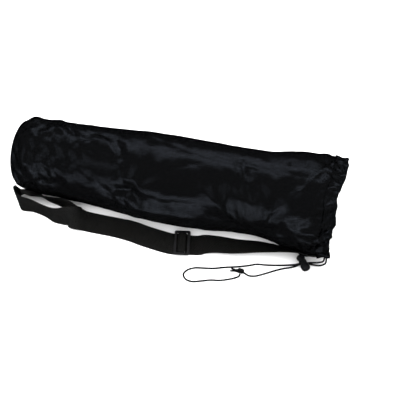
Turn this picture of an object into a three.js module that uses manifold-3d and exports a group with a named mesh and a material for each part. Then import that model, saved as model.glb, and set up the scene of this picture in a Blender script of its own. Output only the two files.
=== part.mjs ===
// A long drawstring bag lying on its side, as it keeps its form when filled, and open at the mouth.
// Millimetres. +X runs from the closed base to the mouth, -Y is the side that the strap lies on, +Z is up.
// The origin is under the middle of the bag's length, on the flat patch that it rests on.

import * as THREE from 'three';
import { mergeVertices } from 'three/addons/utils/BufferGeometryUtils.js';
import Module from 'manifold-3d';

const wasm = await Module();
wasm.setup();

// Cloth tube
const bodyLength = 546;
const bodyRadius = 66;
const clothThickness = 2;
const restDepth = 3;
const hemWidth = 20;
const hemThickness = 3;
const gatherCount = 19;
const gatherDepth = 2.2;
const gatherReach = 64;
const baseSeamReach = 16;
const mouthDrawReach = 65;
const basePanelBulge = 5;
const seamClearance = 0.3;

// Shoulder strap
const webbingWidth = 38;
const webbingThickness = 1.6;
const layerClearance = 0.35;
const strapLift = 0.5;
const slotSideClearance = 0.7;
const sliderLength = 27;
const sliderThickness = 3;
const sliderBar = 4.5;
const sliderRail = 3.6;
const sliderCorner = 3;
const slotCorner = 0.8;
const keeperTape = 19;
const keeperThickness = 1.2;
const keeperClearance = 1.8;

// Drawcord
const cordDiameter = 3;
const cordSides = 8;
const lockLength = 30;
const barrelRadius = 7.4;
const barrelShare = 0.61;
const buttonRadius = 6.9;
const boreClearance = 0.5;
const knotLength = 11;
const knotWidth = 8.4;
const tailLength = 10;
const tailSpread = 1.8;

// Resolution of the faceted cloth
const stationsAlong = 30;
const stationsAround = 48;
const stationsOnHem = 4;
const strapStep = 9;
const cornerSteps = 4;

// The form of the tube, from base to mouth. Columns: at = share of bodyLength,
// halfWidth, halfHeight and sideways = shares of bodyRadius.
const SECTIONS = [
  { at: 0.000, halfWidth: 0.815, halfHeight: 0.880, sideways: 0.03 },
  { at: 0.015, halfWidth: 0.895, halfHeight: 0.925, sideways: 0.03 },
  { at: 0.040, halfWidth: 0.955, halfHeight: 0.955, sideways: 0.00 },
  { at: 0.115, halfWidth: 0.980, halfHeight: 0.960, sideways: -0.02 },
  { at: 0.220, halfWidth: 1.015, halfHeight: 0.978, sideways: -0.01 },
  { at: 0.335, halfWidth: 1.105, halfHeight: 0.993, sideways: -0.02 },
  { at: 0.460, halfWidth: 1.183, halfHeight: 1.012, sideways: -0.02 },
  { at: 0.610, halfWidth: 1.163, halfHeight: 1.008, sideways: 0.01 },
  { at: 0.685, halfWidth: 1.110, halfHeight: 0.993, sideways: 0.07 },
  { at: 0.755, halfWidth: 1.100, halfHeight: 1.005, sideways: 0.09 },
  { at: 0.810, halfWidth: 1.170, halfHeight: 1.030, sideways: 0.10 },
  { at: 0.865, halfWidth: 1.270, halfHeight: 1.060, sideways: 0.08 },
  { at: 0.935, halfWidth: 1.330, halfHeight: 1.075, sideways: 0.05 },
  { at: 1.000, halfWidth: 1.245, halfHeight: 1.045, sideways: 0.06 },
];

// The main folds. Columns: path = places as [share of bodyLength, degrees round from +Y over the top],
// rise = share of bodyRadius, out of the tube where positive, spread = half its width, also such a share.
const FOLDS = [
  { path: [[0.05, 118], [0.09, 160], [0.17, 159]], rise: 0.050, spread: 0.10 },
  { path: [[0.11, 93], [0.14, 110], [0.18, 128]], rise: 0.055, spread: 0.11 },
  { path: [[0.08, 54], [0.14, 68], [0.24, 88]], rise: 0.045, spread: 0.13 },
  { path: [[0.03, 92], [0.10, 128]], rise: -0.045, spread: 0.12 },
  { path: [[0.21, 122], [0.30, 147]], rise: 0.050, spread: 0.12 },
  { path: [[0.26, 72], [0.31, 84]], rise: 0.035, spread: 0.16 },
  { path: [[0.385, 136], [0.295, 90]], rise: -0.040, spread: 0.11 },
  { path: [[0.385, 136], [0.345, 96]], rise: 0.045, spread: 0.10 },
  { path: [[0.385, 136], [0.43, 86]], rise: -0.040, spread: 0.12 },
  { path: [[0.39, 140], [0.55, 98]], rise: 0.035, spread: 0.14 },
  { path: [[0.46, 70], [0.54, 80], [0.70, 90]], rise: 0.055, spread: 0.15 },
  { path: [[0.39, 139], [0.49, 150], [0.65, 145]], rise: 0.045, spread: 0.12 },
  { path: [[0.42, 166], [0.58, 164]], rise: -0.045, spread: 0.13 },
  { path: [[0.61, 128], [0.67, 152], [0.74, 169]], rise: -0.065, spread: 0.12 },
  { path: [[0.63, 160], [0.74, 176]], rise: 0.050, spread: 0.10 },
  { path: [[0.69, 95], [0.67, 136]], rise: -0.050, spread: 0.11 },
  { path: [[0.70, 79], [0.78, 90], [0.92, 94]], rise: 0.065, spread: 0.13 },
  { path: [[0.73, 118], [0.76, 131]], rise: 0.040, spread: 0.09 },
  { path: [[0.955, 66], [0.90, 100], [0.85, 124], [0.81, 146]], rise: -0.110, spread: 0.17 },
  { path: [[0.95, 112], [0.88, 146]], rise: 0.050, spread: 0.24 },
  { path: [[0.93, 150], [0.84, 176]], rise: -0.060, spread: 0.13 },
  { path: [[0.80, 40], [0.97, 52]], rise: 0.050, spread: 0.20 },
  { path: [[0.06, 20], [0.20, 350]], rise: 0.045, spread: 0.14 },
  { path: [[0.20, 26], [0.40, 12]], rise: -0.045, spread: 0.15 },
  { path: [[0.45, 30], [0.62, 2]], rise: 0.050, spread: 0.14 },
  { path: [[0.66, 20], [0.86, 344]], rise: -0.060, spread: 0.15 },
  { path: [[0.84, 28], [0.95, 2]], rise: 0.055, spread: 0.15 },
  { path: [[0.30, 326], [0.46, 312]], rise: -0.040, spread: 0.13 },
  { path: [[0.10, 200], [0.30, 212]], rise: -0.035, spread: 0.13 },
  { path: [[0.62, 320], [0.78, 308]], rise: -0.040, spread: 0.12 },
];

// How far the mouth's edge draws back. Columns: angle in degrees, back = share of hemWidth.
const MOUTH_EDGE = [
  { angle: 0, back: 0.15 },
  { angle: 55, back: 0.00 },
  { angle: 84, back: 0.12 },
  { angle: 112, back: 0.50 },
  { angle: 140, back: 0.30 },
  { angle: 160, back: 0.42 },
  { angle: 180, back: 0.34 },
  { angle: 207, back: 0.05 },
  { angle: 235, back: 0.08 },
  { angle: 270, back: 0.20 },
  { angle: 320, back: 0.30 },
  { angle: 360, back: 0.15 },
];

// How the puckers stray from an even spacing. Columns: waves round the mouth, start and shift in degrees.
const GATHER_WANDER = [
  { waves: 3, start: 40, shift: 36 },
  { waves: 5, start: 0, shift: 30 },
];

// The base panel's rings, from the middle of its inner face round the rim to the middle of its outer face.
// Columns: reach = share of the way to the rim, bulge = share of basePanelBulge, layer = 0 in, 1 out.
const BASE_RINGS = [
  { reach: 0.04, bulge: 1.00, layer: 0 },
  { reach: 0.45, bulge: 0.90, layer: 0 },
  { reach: 0.80, bulge: 0.50, layer: 0 },
  { reach: 1.00, bulge: 0.00, layer: 0 },
  { reach: 1.00, bulge: 0.00, layer: 1 },
  { reach: 0.80, bulge: 0.50, layer: 1 },
  { reach: 0.45, bulge: 0.90, layer: 1 },
  { reach: 0.04, bulge: 1.00, layer: 1 },
];

// The strap's way from the side seam near the mouth to its sewn end at the slider, in four stretches.
// Columns: at = share of bodyLength, out = distance to the bag's middle line as a share of bodyRadius,
// tilt = degrees by which the webbing's left edge, on its way, stands above level,
// under = layers of webbing below it. A row with flank lies on the tube's lower side instead, at that
// angle, with its left edge to smaller angles where lead is -1, and further out where keeper is 1, by the
// room that the keeper takes between strap and tube.
const SEAM_STRETCH = [
  { at: 0.958, flank: 211, lead: -1, keeper: 0 },
  { at: 0.935, flank: 211, lead: -1, keeper: 0 },
  { at: 0.908, flank: 212, lead: -1, keeper: 0 },
  { at: 0.850, out: 0.955, tilt: 41, under: 0 },
  { at: 0.795, out: 0.975, tilt: 31, under: 0 },
  { at: 0.715, out: 1.075, tilt: 19, under: 0 },
  { at: 0.660, out: 1.105, tilt: 11, under: 0 },
  { at: 0.623, out: 1.150, tilt: 3, under: 0 },
];
const FRONT_STRETCH = [
  { at: 0.440, out: 1.275, tilt: 0, under: 2 },
  { at: 0.400, out: 1.220, tilt: 0, under: 2 },
  { at: 0.374, out: 1.200, tilt: 0, under: 2 },
  { at: 0.354, out: 1.188, tilt: 0, under: 1 },
  { at: 0.342, out: 1.187, tilt: 0, under: 1 },
  { at: 0.284, out: 1.190, tilt: 0, under: 1 },
  { at: 0.240, out: 1.195, tilt: -3, under: 1.15 },
  { at: 0.217, out: 1.275, tilt: -36, under: 1.6 },
  { at: 0.196, out: 1.305, tilt: -62, under: 1.5 },
  { at: 0.174, out: 1.345, tilt: -75, under: 0.4 },
  { at: 0.145, out: 1.360, tilt: -83, under: 0 },
  { at: 0.112, out: 1.285, tilt: -90, under: 0 },
  { at: 0.068, out: 1.205, tilt: -88, under: 0 },
  { at: 0.031, out: 1.195, tilt: -82, under: 0 },
  { at: 0.019, out: 1.115, tilt: -86, under: 0 },
  { at: 0.007, out: 1.010, tilt: -90, under: 0 },
  { at: 0.000, out: 0.925, tilt: -89, under: 0 },
  { at: 0.007, out: 0.825, tilt: -81, under: 0 },
];
const REAR_STRETCH = [
  { at: 0.030, flank: 216, lead: 1, keeper: 1 },
  { at: 0.050, flank: 216, lead: 1, keeper: 1 },
  { at: 0.072, flank: 216, lead: 1, keeper: 1 },
  { at: 0.100, out: 0.900, tilt: -68, under: 0 },
  { at: 0.132, out: 0.930, tilt: -75, under: 0 },
  { at: 0.152, out: 0.948, tilt: -81, under: 0 },
  { at: 0.168, out: 0.985, tilt: -93, under: 0 },
  { at: 0.182, out: 1.060, tilt: -113, under: 0 },
  { at: 0.196, out: 1.145, tilt: -141, under: 0 },
  { at: 0.212, out: 1.172, tilt: -165, under: 0 },
  { at: 0.236, out: 1.185, tilt: -178, under: 0 },
  { at: 0.284, out: 1.190, tilt: -180, under: 0 },
  { at: 0.345, out: 1.185, tilt: -180, under: 0 },
  { at: 0.400, out: 1.220, tilt: -180, under: 0 },
  { at: 0.440, out: 1.275, tilt: -180, under: 0 },
];
const TAIL_STRETCH = [
  { at: 0.440, out: 1.275, tilt: 0, under: 1 },
  { at: 0.400, out: 1.220, tilt: 0, under: 1 },
  { at: 0.380, out: 1.204, tilt: 0, under: 1 },
];
const SLIDER_PLACE = { at: 0.557, out: 1.290, turn: 11 };
const keeperRow = 1;

// The cord's way, chosen by hand: x, y, z in millimetres.
const CORD_LOOP_ROUTE = [
  [264.6, -71.2, 37.3], [264.6, -75.4, 34.6], [264.5, -76.6, 27.5], [263.4, -73.4, 18.0], [260.8, -70.6, 10.8],
  [256.0, -70.6, 7.6], [249.5, -72.9, 8.4], [242.7, -75.2, 9.2], [235.0, -78.0, 9.5], [227.3, -80.8, 9.2],
  [221.0, -82.4, 6.6],
  [213.0, -82.4, 2.2], [199.0, -86.0, 1.6], [175.0, -91.0, 1.6], [159.0, -93.5, 1.6], [148.0, -98.5, 1.6],
  [130.0, -105.0, 1.6], [110.0, -111.0, 1.6], [93.0, -117.0, 1.6], [76.0, -120.5, 1.6],
  [62.0, -123.5, 1.6], [51.0, -130.5, 1.6], [47.0, -139.0, 1.6], [52.0, -146.5, 1.6], [63.0, -149.0, 1.6],
  [78.0, -144.5, 1.6], [92.0, -139.5, 1.6], [107.0, -136.5, 1.6], [119.0, -132.0, 1.6],
  [130.0, -126.5, 1.6], [136.0, -121.5, 1.7], [137.0, -117.6, 2.2],
];
const CORD_RETURN_ROUTE = [
  [142.3, -114.2, 2.7], [151.0, -117.0, 1.6], [161.0, -115.5, 1.6], [170.0, -111.0, 1.6],
  [180.0, -105.0, 1.6], [192.0, -97.5, 1.6], [205.0, -90.5, 1.6], [214.0, -87.0, 1.8],
  [221.0, -84.2, 3.6], [227.3, -80.8, 5.8], [235.0, -78.0, 6.1], [242.7, -75.2, 5.8], [249.5, -74.4, 4.4],
  [256.0, -73.6, 3.3], [262.0, -73.0, 4.6], [266.4, -73.0, 9.5], [268.6, -74.6, 17.5],
  [268.4, -72.8, 27.6], [267.2, -68.2, 32.4],
];
const LOCK_CENTRE = [235, -78, 7.7];
const LOCK_TURN = -56;
const BORE_TURN = 20;
const KNOT_CENTRE = [137, -112.7, 4.3];
const loopSteps = 50;
const returnSteps = 28;

// Degrees to each side over which a slope round the tube is taken
const innerStep = 1.5;
const flankStep = 4;

const clamp01 = (value) => Math.min(1, Math.max(0, value));
const radians = THREE.MathUtils.degToRad;
const up = new THREE.Vector3(0, 0, 1);

// A smooth value between the rows of a table, from one of its columns.
function column(rows, key, name) {
  const steepness = (i) => (rows[i + 1][name] - rows[i][name]) / (rows[i + 1][key] - rows[i][key]);
  const slopes = rows.map((row, i) => {
    if (i === 0 || i === rows.length - 1) return 0;
    const product = steepness(i - 1) * steepness(i);
    return product > 0 ? (2 * product) / (steepness(i - 1) + steepness(i)) : 0;
  });
  return (place) => {
    const next = rows.findIndex((row) => row[key] > place);
    const i = next < 0 ? rows.length - 2 : Math.max(0, next - 1);
    const span = rows[i + 1][key] - rows[i][key];
    const t = clamp01((place - rows[i][key]) / span);
    const rest = 1 - t;
    const start = rows[i][name] * (1 + 2 * t) * rest * rest;
    const end = rows[i + 1][name] * t * t * (3 - 2 * t);
    return start + end + span * (slopes[i] * t * rest * rest - slopes[i + 1] * t * t * rest);
  };
}

const halfWidthAt = column(SECTIONS, 'at', 'halfWidth');
const halfHeightAt = column(SECTIONS, 'at', 'halfHeight');
const sidewaysAt = column(SECTIONS, 'at', 'sideways');
const edgeBackAt = column(MOUTH_EDGE, 'angle', 'back');
const degreesBetween = (from, to) => ((to - from + 900) % 360) - 180;

// The distance over the cloth from a place on the tube to one straight piece of a fold.
function distanceToPiece(share, angle, from, to) {
  const around = (degrees) => radians(degrees) * bodyRadius;
  const start = new THREE.Vector2((from[0] - share) * bodyLength, around(degreesBetween(angle, from[1])));
  const way = new THREE.Vector2((to[0] - from[0]) * bodyLength, around(degreesBetween(from[1], to[1])));
  const along = clamp01(-start.dot(way) / way.lengthSq());
  return start.addScaledVector(way, along).length();
}

function foldRise(share, angle) {
  let rise = 0;
  for (const fold of FOLDS) {
    const pieces = fold.path.slice(1).map((place, i) => distanceToPiece(share, angle, fold.path[i], place));
    const reach = Math.min(...pieces) / (fold.spread * bodyRadius);
    rise += fold.rise * bodyRadius * Math.exp(-reach * reach);
  }
  return rise;
}

// The puckers that the drawcord gathers, fading out away from the mouth.
function gatherRise(share, angle) {
  const closeness = clamp01(1 - ((1 - share) * bodyLength) / gatherReach);
  let phase = gatherCount * angle;
  GATHER_WANDER.forEach((row) => {
    phase += row.shift * Math.sin(radians(row.waves * angle + row.start));
  });
  return gatherDepth * closeness * closeness * Math.sin(radians(phase));
}

// A point of the tube's outer face, without its folds or with them.
function tubePoint(share, angle, rise) {
  const turn = radians(angle);
  const width = halfWidthAt(share) * bodyRadius;
  const height = halfHeightAt(share) * bodyRadius;
  const outward = new THREE.Vector2(Math.cos(turn) / width, Math.sin(turn) / height).normalize();
  const nearMouth = clamp01(1 - ((1 - share) * bodyLength) / mouthDrawReach);
  const x = (share - 0.5) * bodyLength - edgeBackAt(angle) * hemWidth * nearMouth;
  const y = sidewaysAt(share) * bodyRadius + width * Math.cos(turn) + rise * outward.x;
  const z = height * (1 + Math.sin(turn)) - restDepth + rise * outward.y;
  return new THREE.Vector3(x, y, Math.max(0, z));
}

function foldedPoint(share, angle) {
  const seamHold = clamp01((share * bodyLength) / baseSeamReach);
  return tubePoint(share, angle, (foldRise(share, angle) + gatherRise(share, angle)) * seamHold);
}

// The inner face lies one thickness in, square to the outer face in its own section.
function innerPoint(share, angle, thickness) {
  const around = foldedPoint(share, (angle + innerStep) % 360);
  around.sub(foldedPoint(share, (angle - innerStep + 360) % 360));
  const inward = new THREE.Vector3(0, -around.z, around.y).normalize();
  return foldedPoint(share, angle).addScaledVector(inward, thickness);
}

function volumeOf(geometry) {
  const position = geometry.getAttribute('position');
  const index = geometry.getIndex();
  const corner = (i) => new THREE.Vector3().fromBufferAttribute(position, index.getX(i));
  let volume = 0;
  for (let i = 0; i < index.count; i += 3) {
    volume += corner(i).dot(corner(i + 1).cross(corner(i + 2))) / 6;
  }
  return volume;
}

// A closed body through rings of points. The last ring joins the first, or both ends are capped.
// Where both ends are capped, the second half of each ring is split along the other diagonal, so that
// the two faces of a twisted band bend alike.
function loft(rings, joined) {
  const count = rings[0].length;
  const positions = rings.flatMap((ring) => ring.flatMap((point) => point.toArray()));
  const index = [];
  const bands = joined ? rings.length : rings.length - 1;
  for (let i = 0; i < bands; i += 1) {
    const here = i * count;
    const there = ((i + 1) % rings.length) * count;
    for (let j = 0; j < count; j += 1) {
      const k = (j + 1) % count;
      if (joined || 2 * j < count) {
        index.push(here + j, here + k, there + k, here + j, there + k, there + j);
      } else {
        index.push(here + j, here + k, there + j, here + k, there + k, there + j);
      }
    }
  }
  if (!joined) {
    const end = (rings.length - 1) * count;
    for (let j = 1; j < count - 1; j += 1) {
      index.push(0, j + 1, j, end, end + j, end + j + 1);
    }
  }
  const geometry = new THREE.BufferGeometry();
  geometry.setAttribute('position', new THREE.Float32BufferAttribute(positions, 3));
  geometry.setIndex(index);
  if (volumeOf(geometry) < 0) geometry.setIndex(index.reverse());
  return geometry;
}

function toSolid(geometry) {
  const bare = geometry.clone();
  bare.deleteAttribute('normal');
  bare.deleteAttribute('uv');
  const merged = mergeVertices(bare, 1e-4);
  const vertProperties = new Float32Array(merged.getAttribute('position').array);
  const triVerts = new Uint32Array(merged.getIndex().array);
  return new wasm.Manifold(new wasm.Mesh({ numProp: 3, vertProperties, triVerts }));
}

function fromSolid(solid) {
  const mesh = solid.getMesh();
  const geometry = new THREE.BufferGeometry();
  geometry.setAttribute('position', new THREE.Float32BufferAttribute(mesh.vertProperties, 3));
  geometry.setIndex([...mesh.triVerts]);
  return geometry;
}

const finish = (color, roughness) => new THREE.MeshStandardMaterial({ color, roughness, metalness: 0 });
const nylon = finish(0x0d0e12, 0.45);
const webbing = finish(0x0c0c0b, 0.8);
const cordBlack = finish(0x080808, 0.75);
const sliderPlastic = finish(0x161617, 0.4);
const lockPlastic = finish(0x0b0b0c, 0.35);

const bag = new THREE.Group();
bag.name = 'yoga_mat_bag';

function addPart(name, geometry, material) {
  const mesh = new THREE.Mesh(geometry, material);
  mesh.name = name;
  bag.add(mesh);
  return mesh;
}

// The tube, and the drawcord channel that is folded back from the same cloth round its mouth
const angles = Array.from({ length: stationsAround }, (_, j) => (360 * j) / stationsAround);

function tubeWall(fromShare, toShare, stations, thickness) {
  const step = (toShare - fromShare) / (stations - 1);
  const shares = Array.from({ length: stations }, (_, i) => fromShare + step * i);
  const outside = shares.map((share) => angles.map((angle) => foldedPoint(share, angle)));
  const inside = shares.map((share) => angles.map((angle) => innerPoint(share, angle, thickness)));
  return loft([...outside, ...inside.reverse()], true);
}

const hemStart = 1 - hemWidth / bodyLength;
const bodyEnd = hemStart - seamClearance / bodyLength;
addPart('bag_body', tubeWall(0, bodyEnd, stationsAlong, clothThickness), nylon);
addPart('mouth_hem', tubeWall(hemStart, 1, stationsOnHem, hemThickness), nylon);

// The base panel, sewn to the tube's end and bulging a little
function basePanel() {
  const rim = angles.map((angle) => foldedPoint(0, angle));
  const middle = new THREE.Vector3();
  rim.forEach((point) => middle.addScaledVector(point, 1 / rim.length));
  const rings = BASE_RINGS.map((row) => rim.map((point) => {
    const moved = middle.clone().lerp(point, row.reach);
    moved.x -= seamClearance + row.bulge * basePanelBulge + row.layer * clothThickness;
    return moved;
  }));
  return loft(rings, false);
}
addPart('base_panel', basePanel(), nylon);

// The strap's way past the slider, across it: along = millimetres from the slider's middle towards the mouth
const layer = webbingThickness + layerClearance;
const levelOf = (under) => webbingThickness / 2 + under * layer;
const sliderLift = 3 * layer + layerClearance;
const slotWidth = (sliderLength - 3 * sliderBar) / 2;
const sliderWidth = webbingWidth + 2 * (slotSideClearance + sliderRail);
const wrapSide = sliderBar / 2 + layerClearance + webbingThickness / 2;
const wrapTop = sliderLift + sliderThickness + layerClearance + webbingThickness / 2;
const overSide = wrapSide + layer + layerClearance;
const overTop = wrapTop + layer + layerClearance;

const OVER_SLIDER = [
  { along: sliderLength, height: levelOf(0) },
  { along: 0.62 * sliderLength, height: levelOf(0) },
  { along: 0.44 * sliderLength, height: levelOf(1) - webbingThickness / 2 },
  { along: overSide + 0.25 * slotWidth, height: levelOf(2) },
  { along: overSide, height: sliderLift + sliderThickness / 2 },
  { along: overSide - 0.2 * layer, height: overTop - layer },
  { along: overSide - 1.2 * layer, height: overTop - 0.15 * layer },
  { along: 0, height: overTop },
  { along: 1.2 * layer - overSide, height: overTop - 0.15 * layer },
  { along: 0.2 * layer - overSide, height: overTop - layer },
  { along: -overSide, height: sliderLift + 0.5 * sliderThickness },
  { along: -overSide - 0.8 * layer, height: levelOf(2) + 0.45 * layer },
  { along: -overSide - 2.6 * layer, height: levelOf(2) },
  { along: -0.62 * sliderLength, height: levelOf(2) },
];
const ROUND_BAR = [
  { along: -0.62 * sliderLength, height: levelOf(0) },
  { along: -0.2 * sliderLength, height: levelOf(0) },
  { along: 0.5 * wrapSide, height: levelOf(0) + 0.1 * layer },
  { along: wrapSide, height: levelOf(1) },
  { along: wrapSide + 0.1 * layer, height: sliderLift },
  { along: wrapSide, height: sliderLift + 0.6 * sliderThickness },
  { along: wrapSide - 0.15 * layer, height: wrapTop - 0.35 * layer },
  { along: wrapSide - 0.7 * layer, height: wrapTop },
  { along: 0, height: wrapTop + 0.1 * layer },
  { along: 0.7 * layer - wrapSide, height: wrapTop },
  { along: 0.15 * layer - wrapSide, height: wrapTop - 0.35 * layer },
  { along: -wrapSide, height: sliderLift + 0.6 * sliderThickness },
  { along: -wrapSide - 0.2 * layer, height: levelOf(2) },
  { along: -wrapSide - 1.3 * layer, height: levelOf(1) + 0.15 * layer },
  { along: -wrapSide - 3 * layer, height: levelOf(1) },
  { along: -0.62 * sliderLength, height: levelOf(1) },
];

const lengthwise = (share) => (share - 0.5) * bodyLength;
const sliderTurn = radians(SLIDER_PLACE.turn);
const sliderWay = new THREE.Vector3(Math.cos(sliderTurn), Math.sin(sliderTurn), 0);
const sliderAcross = new THREE.Vector3().crossVectors(up, sliderWay);
const sliderMiddle = new THREE.Vector3(lengthwise(SLIDER_PLACE.at), -SLIDER_PLACE.out * bodyRadius, 0);

// Each place of the strap has its middle and the direction of its left edge.
function sliderPlaces(rows) {
  return rows.map((row) => {
    const middle = sliderMiddle.clone().addScaledVector(sliderWay, row.along).setZ(row.height);
    return { middle, edge: sliderAcross.clone().negate() };
  });
}

function flankPlace(row) {
  const middle = tubePoint(row.at, row.flank, 0);
  const edge = tubePoint(row.at, row.flank + flankStep, 0);
  edge.sub(tubePoint(row.at, row.flank - flankStep, 0));
  edge.setX(0).normalize();
  const outward = new THREE.Vector3(0, -edge.z, edge.y).normalize();
  if (outward.y > 0) outward.negate();
  const room = row.keeper * (keeperThickness + keeperClearance);
  middle.addScaledVector(outward, seamClearance + strapLift + webbingThickness / 2 + room);
  return { middle, edge: edge.multiplyScalar(row.lead) };
}

function floorPlace(row) {
  const tilt = radians(row.tilt);
  const standing = (webbingWidth / 2) * Math.abs(Math.sin(tilt));
  const lying = (webbingThickness / 2) * Math.abs(Math.cos(tilt));
  const height = standing + lying + row.under * layer;
  return { middle: new THREE.Vector3(lengthwise(row.at), -row.out * bodyRadius, height), tilt };
}

const stretchPlaces = (rows) => rows.map((row) => ('flank' in row ? flankPlace(row) : floorPlace(row)));
const strapPlaces = [
  ...stretchPlaces(SEAM_STRETCH),
  ...sliderPlaces(OVER_SLIDER),
  ...stretchPlaces(FRONT_STRETCH),
  ...stretchPlaces(REAR_STRETCH),
  ...sliderPlaces(ROUND_BAR),
  ...stretchPlaces(TAIL_STRETCH),
];
strapPlaces.forEach((place, i) => {
  if (place.edge) return;
  const heading = strapPlaces[i + 1] ? strapPlaces[i + 1].middle.clone() : place.middle.clone();
  heading.sub(strapPlaces[i - 1].middle).setZ(0).normalize();
  const left = new THREE.Vector3().crossVectors(up, heading);
  place.edge = left.multiplyScalar(Math.cos(place.tilt)).addScaledVector(up, Math.sin(place.tilt));
});

const strapMiddles = strapPlaces.map((place) => place.middle);
const strapLine = new THREE.CatmullRomCurve3(strapMiddles, false, 'centripetal');
const strapEdges = new THREE.CatmullRomCurve3(strapPlaces.map((place) => place.edge), false, 'catmullrom');

// The strap's middle, its way, its left edge and its face's normal, at a place counted in table rows
function strapFrame(row) {
  const t = row / (strapPlaces.length - 1);
  const way = strapLine.getTangent(t);
  const edge = strapEdges.getPoint(t);
  edge.addScaledVector(way, -edge.dot(way)).normalize();
  return { middle: strapLine.getPoint(t), way, edge, face: new THREE.Vector3().crossVectors(way, edge) };
}

function shoulderStrap() {
  const rows = [0];
  for (let i = 1; i < strapPlaces.length; i += 1) {
    const span = strapPlaces[i].middle.distanceTo(strapPlaces[i - 1].middle);
    const steps = Math.max(2, Math.ceil(span / strapStep));
    for (let j = 1; j <= steps; j += 1) {
      rows.push(i - 1 + j / steps);
    }
  }
  const corners = [[1, 1], [-1, 1], [-1, -1], [1, -1]];
  return loft(rows.map((row) => {
    const { middle, edge, face } = strapFrame(row);
    const ring = corners.map(([across, through]) => {
      const corner = middle.clone().addScaledVector(edge, (across * webbingWidth) / 2);
      return corner.addScaledVector(face, (through * webbingThickness) / 2);
    });
    const sunk = Math.min(0, ...ring.map((corner) => corner.z));
    ring.forEach((corner) => corner.setZ(corner.z - sunk));
    return ring;
  }), false);
}
addPart('shoulder_strap', shoulderStrap(), webbing);

// The corner of a shape whose ends are round, as a share of its width
const roundEnd = 0.46;

function roundedRectangle(shape, width, height, corner, x = 0) {
  const right = x + width / 2;
  const left = x - width / 2;
  const top = height / 2;
  shape.moveTo(right, corner - top);
  shape.lineTo(right, top - corner);
  shape.absarc(right - corner, top - corner, corner, 0, Math.PI / 2);
  shape.absarc(left + corner, top - corner, corner, Math.PI / 2, Math.PI);
  shape.absarc(left + corner, corner - top, corner, Math.PI, 1.5 * Math.PI);
  shape.absarc(right - corner, corner - top, corner, 1.5 * Math.PI, 2 * Math.PI);
  return shape;
}

const extrude = (shape, depth) => {
  return new THREE.ExtrudeGeometry(shape, { depth, curveSegments: cornerSteps, bevelEnabled: false });
};

// The tape loop, sewn to the base seam, that the standing strap runs through
function strapKeeper() {
  const inside = webbingThickness + 2 * keeperClearance;
  const insideLength = webbingWidth + 2 * keeperClearance;
  const outside = inside + 2 * keeperThickness;
  const outsideLength = insideLength + 2 * keeperThickness;
  const shape = roundedRectangle(new THREE.Shape(), outsideLength, outside, outside * roundEnd);
  shape.holes.push(roundedRectangle(new THREE.Path(), insideLength, inside, inside * roundEnd));
  const geometry = extrude(shape, keeperTape).translate(0, 0, -keeperTape / 2);
  const row = SEAM_STRETCH.length + OVER_SLIDER.length + FRONT_STRETCH.length + keeperRow;
  const { middle, way, edge, face } = strapFrame(row);
  const place = new THREE.Matrix4().makeBasis(edge, face, way).setPosition(middle);
  return geometry.applyMatrix4(place);
}
addPart('strap_keeper', strapKeeper(), webbing);

// The three-bar slider, lying on the strap
function strapSlider() {
  const shape = roundedRectangle(new THREE.Shape(), sliderLength, sliderWidth, sliderCorner);
  const slotLength = webbingWidth + 2 * slotSideClearance;
  const slotPlace = (sliderBar + slotWidth) / 2;
  for (const side of [-1, 1]) {
    const slot = roundedRectangle(new THREE.Path(), slotWidth, slotLength, slotCorner, side * slotPlace);
    shape.holes.push(slot);
  }
  return extrude(shape, sliderThickness);
}
const slider = addPart('strap_slider', strapSlider(), sliderPlastic);
slider.position.copy(sliderMiddle).setZ(sliderLift);
slider.rotation.z = sliderTurn;

// The drawcord, in two stretches between the channel, the lock and the knot
function cordTube(route, steps) {
  const points = route.map((place) => new THREE.Vector3(...place));
  const way = new THREE.CatmullRomCurve3(points, false, 'centripetal');
  const section = new THREE.Shape();
  for (let i = 0; i < cordSides; i += 1) {
    const turn = (2 * Math.PI * i) / cordSides;
    const [x, y] = [Math.cos(turn), Math.sin(turn)].map((value) => (value * cordDiameter) / 2);
    if (i === 0) section.moveTo(x, y);
    else section.lineTo(x, y);
  }
  section.closePath();
  return new THREE.ExtrudeGeometry(section, { steps, extrudePath: way, bevelEnabled: false });
}
addPart('drawcord_loop', cordTube(CORD_LOOP_ROUTE, loopSteps), cordBlack);
addPart('drawcord_return', cordTube(CORD_RETURN_ROUTE, returnSteps), cordBlack);

// The cord lock, lying on its side with both strands through its bore.
// Columns: along = share of the piece's length, radius = share of its own radius.
const BARREL_PROFILE = [
  { along: 0.00, radius: 0.00 },
  { along: 0.00, radius: 0.45 },
  { along: 0.07, radius: 0.80 },
  { along: 0.22, radius: 0.98 },
  { along: 0.42, radius: 1.00 },
  { along: 0.62, radius: 0.90 },
  { along: 0.80, radius: 0.85 },
  { along: 1.00, radius: 0.85 },
  { along: 1.00, radius: 0.00 },
];
const BUTTON_PROFILE = [
  { along: 0.00, radius: 0.00 },
  { along: 0.00, radius: 0.75 },
  { along: 0.25, radius: 0.90 },
  { along: 0.50, radius: 1.00 },
  { along: 0.78, radius: 0.88 },
  { along: 0.94, radius: 0.58 },
  { along: 1.00, radius: 0.00 },
];
const barrelLength = barrelShare * lockLength;
const buttonLength = lockLength - barrelLength - seamClearance;
const boreAlong = 0.68 * barrelLength;
const lockSides = 16;

function lockPiece(profile, length, radius, start) {
  const points = profile.map((row) => new THREE.Vector2(row.radius * radius, row.along * length));
  const turned = new THREE.LatheGeometry(points, lockSides).translate(0, start - boreAlong, 0);
  turned.rotateZ(radians(LOCK_TURN + 90));
  return turned.translate(...LOCK_CENTRE);
}

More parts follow.
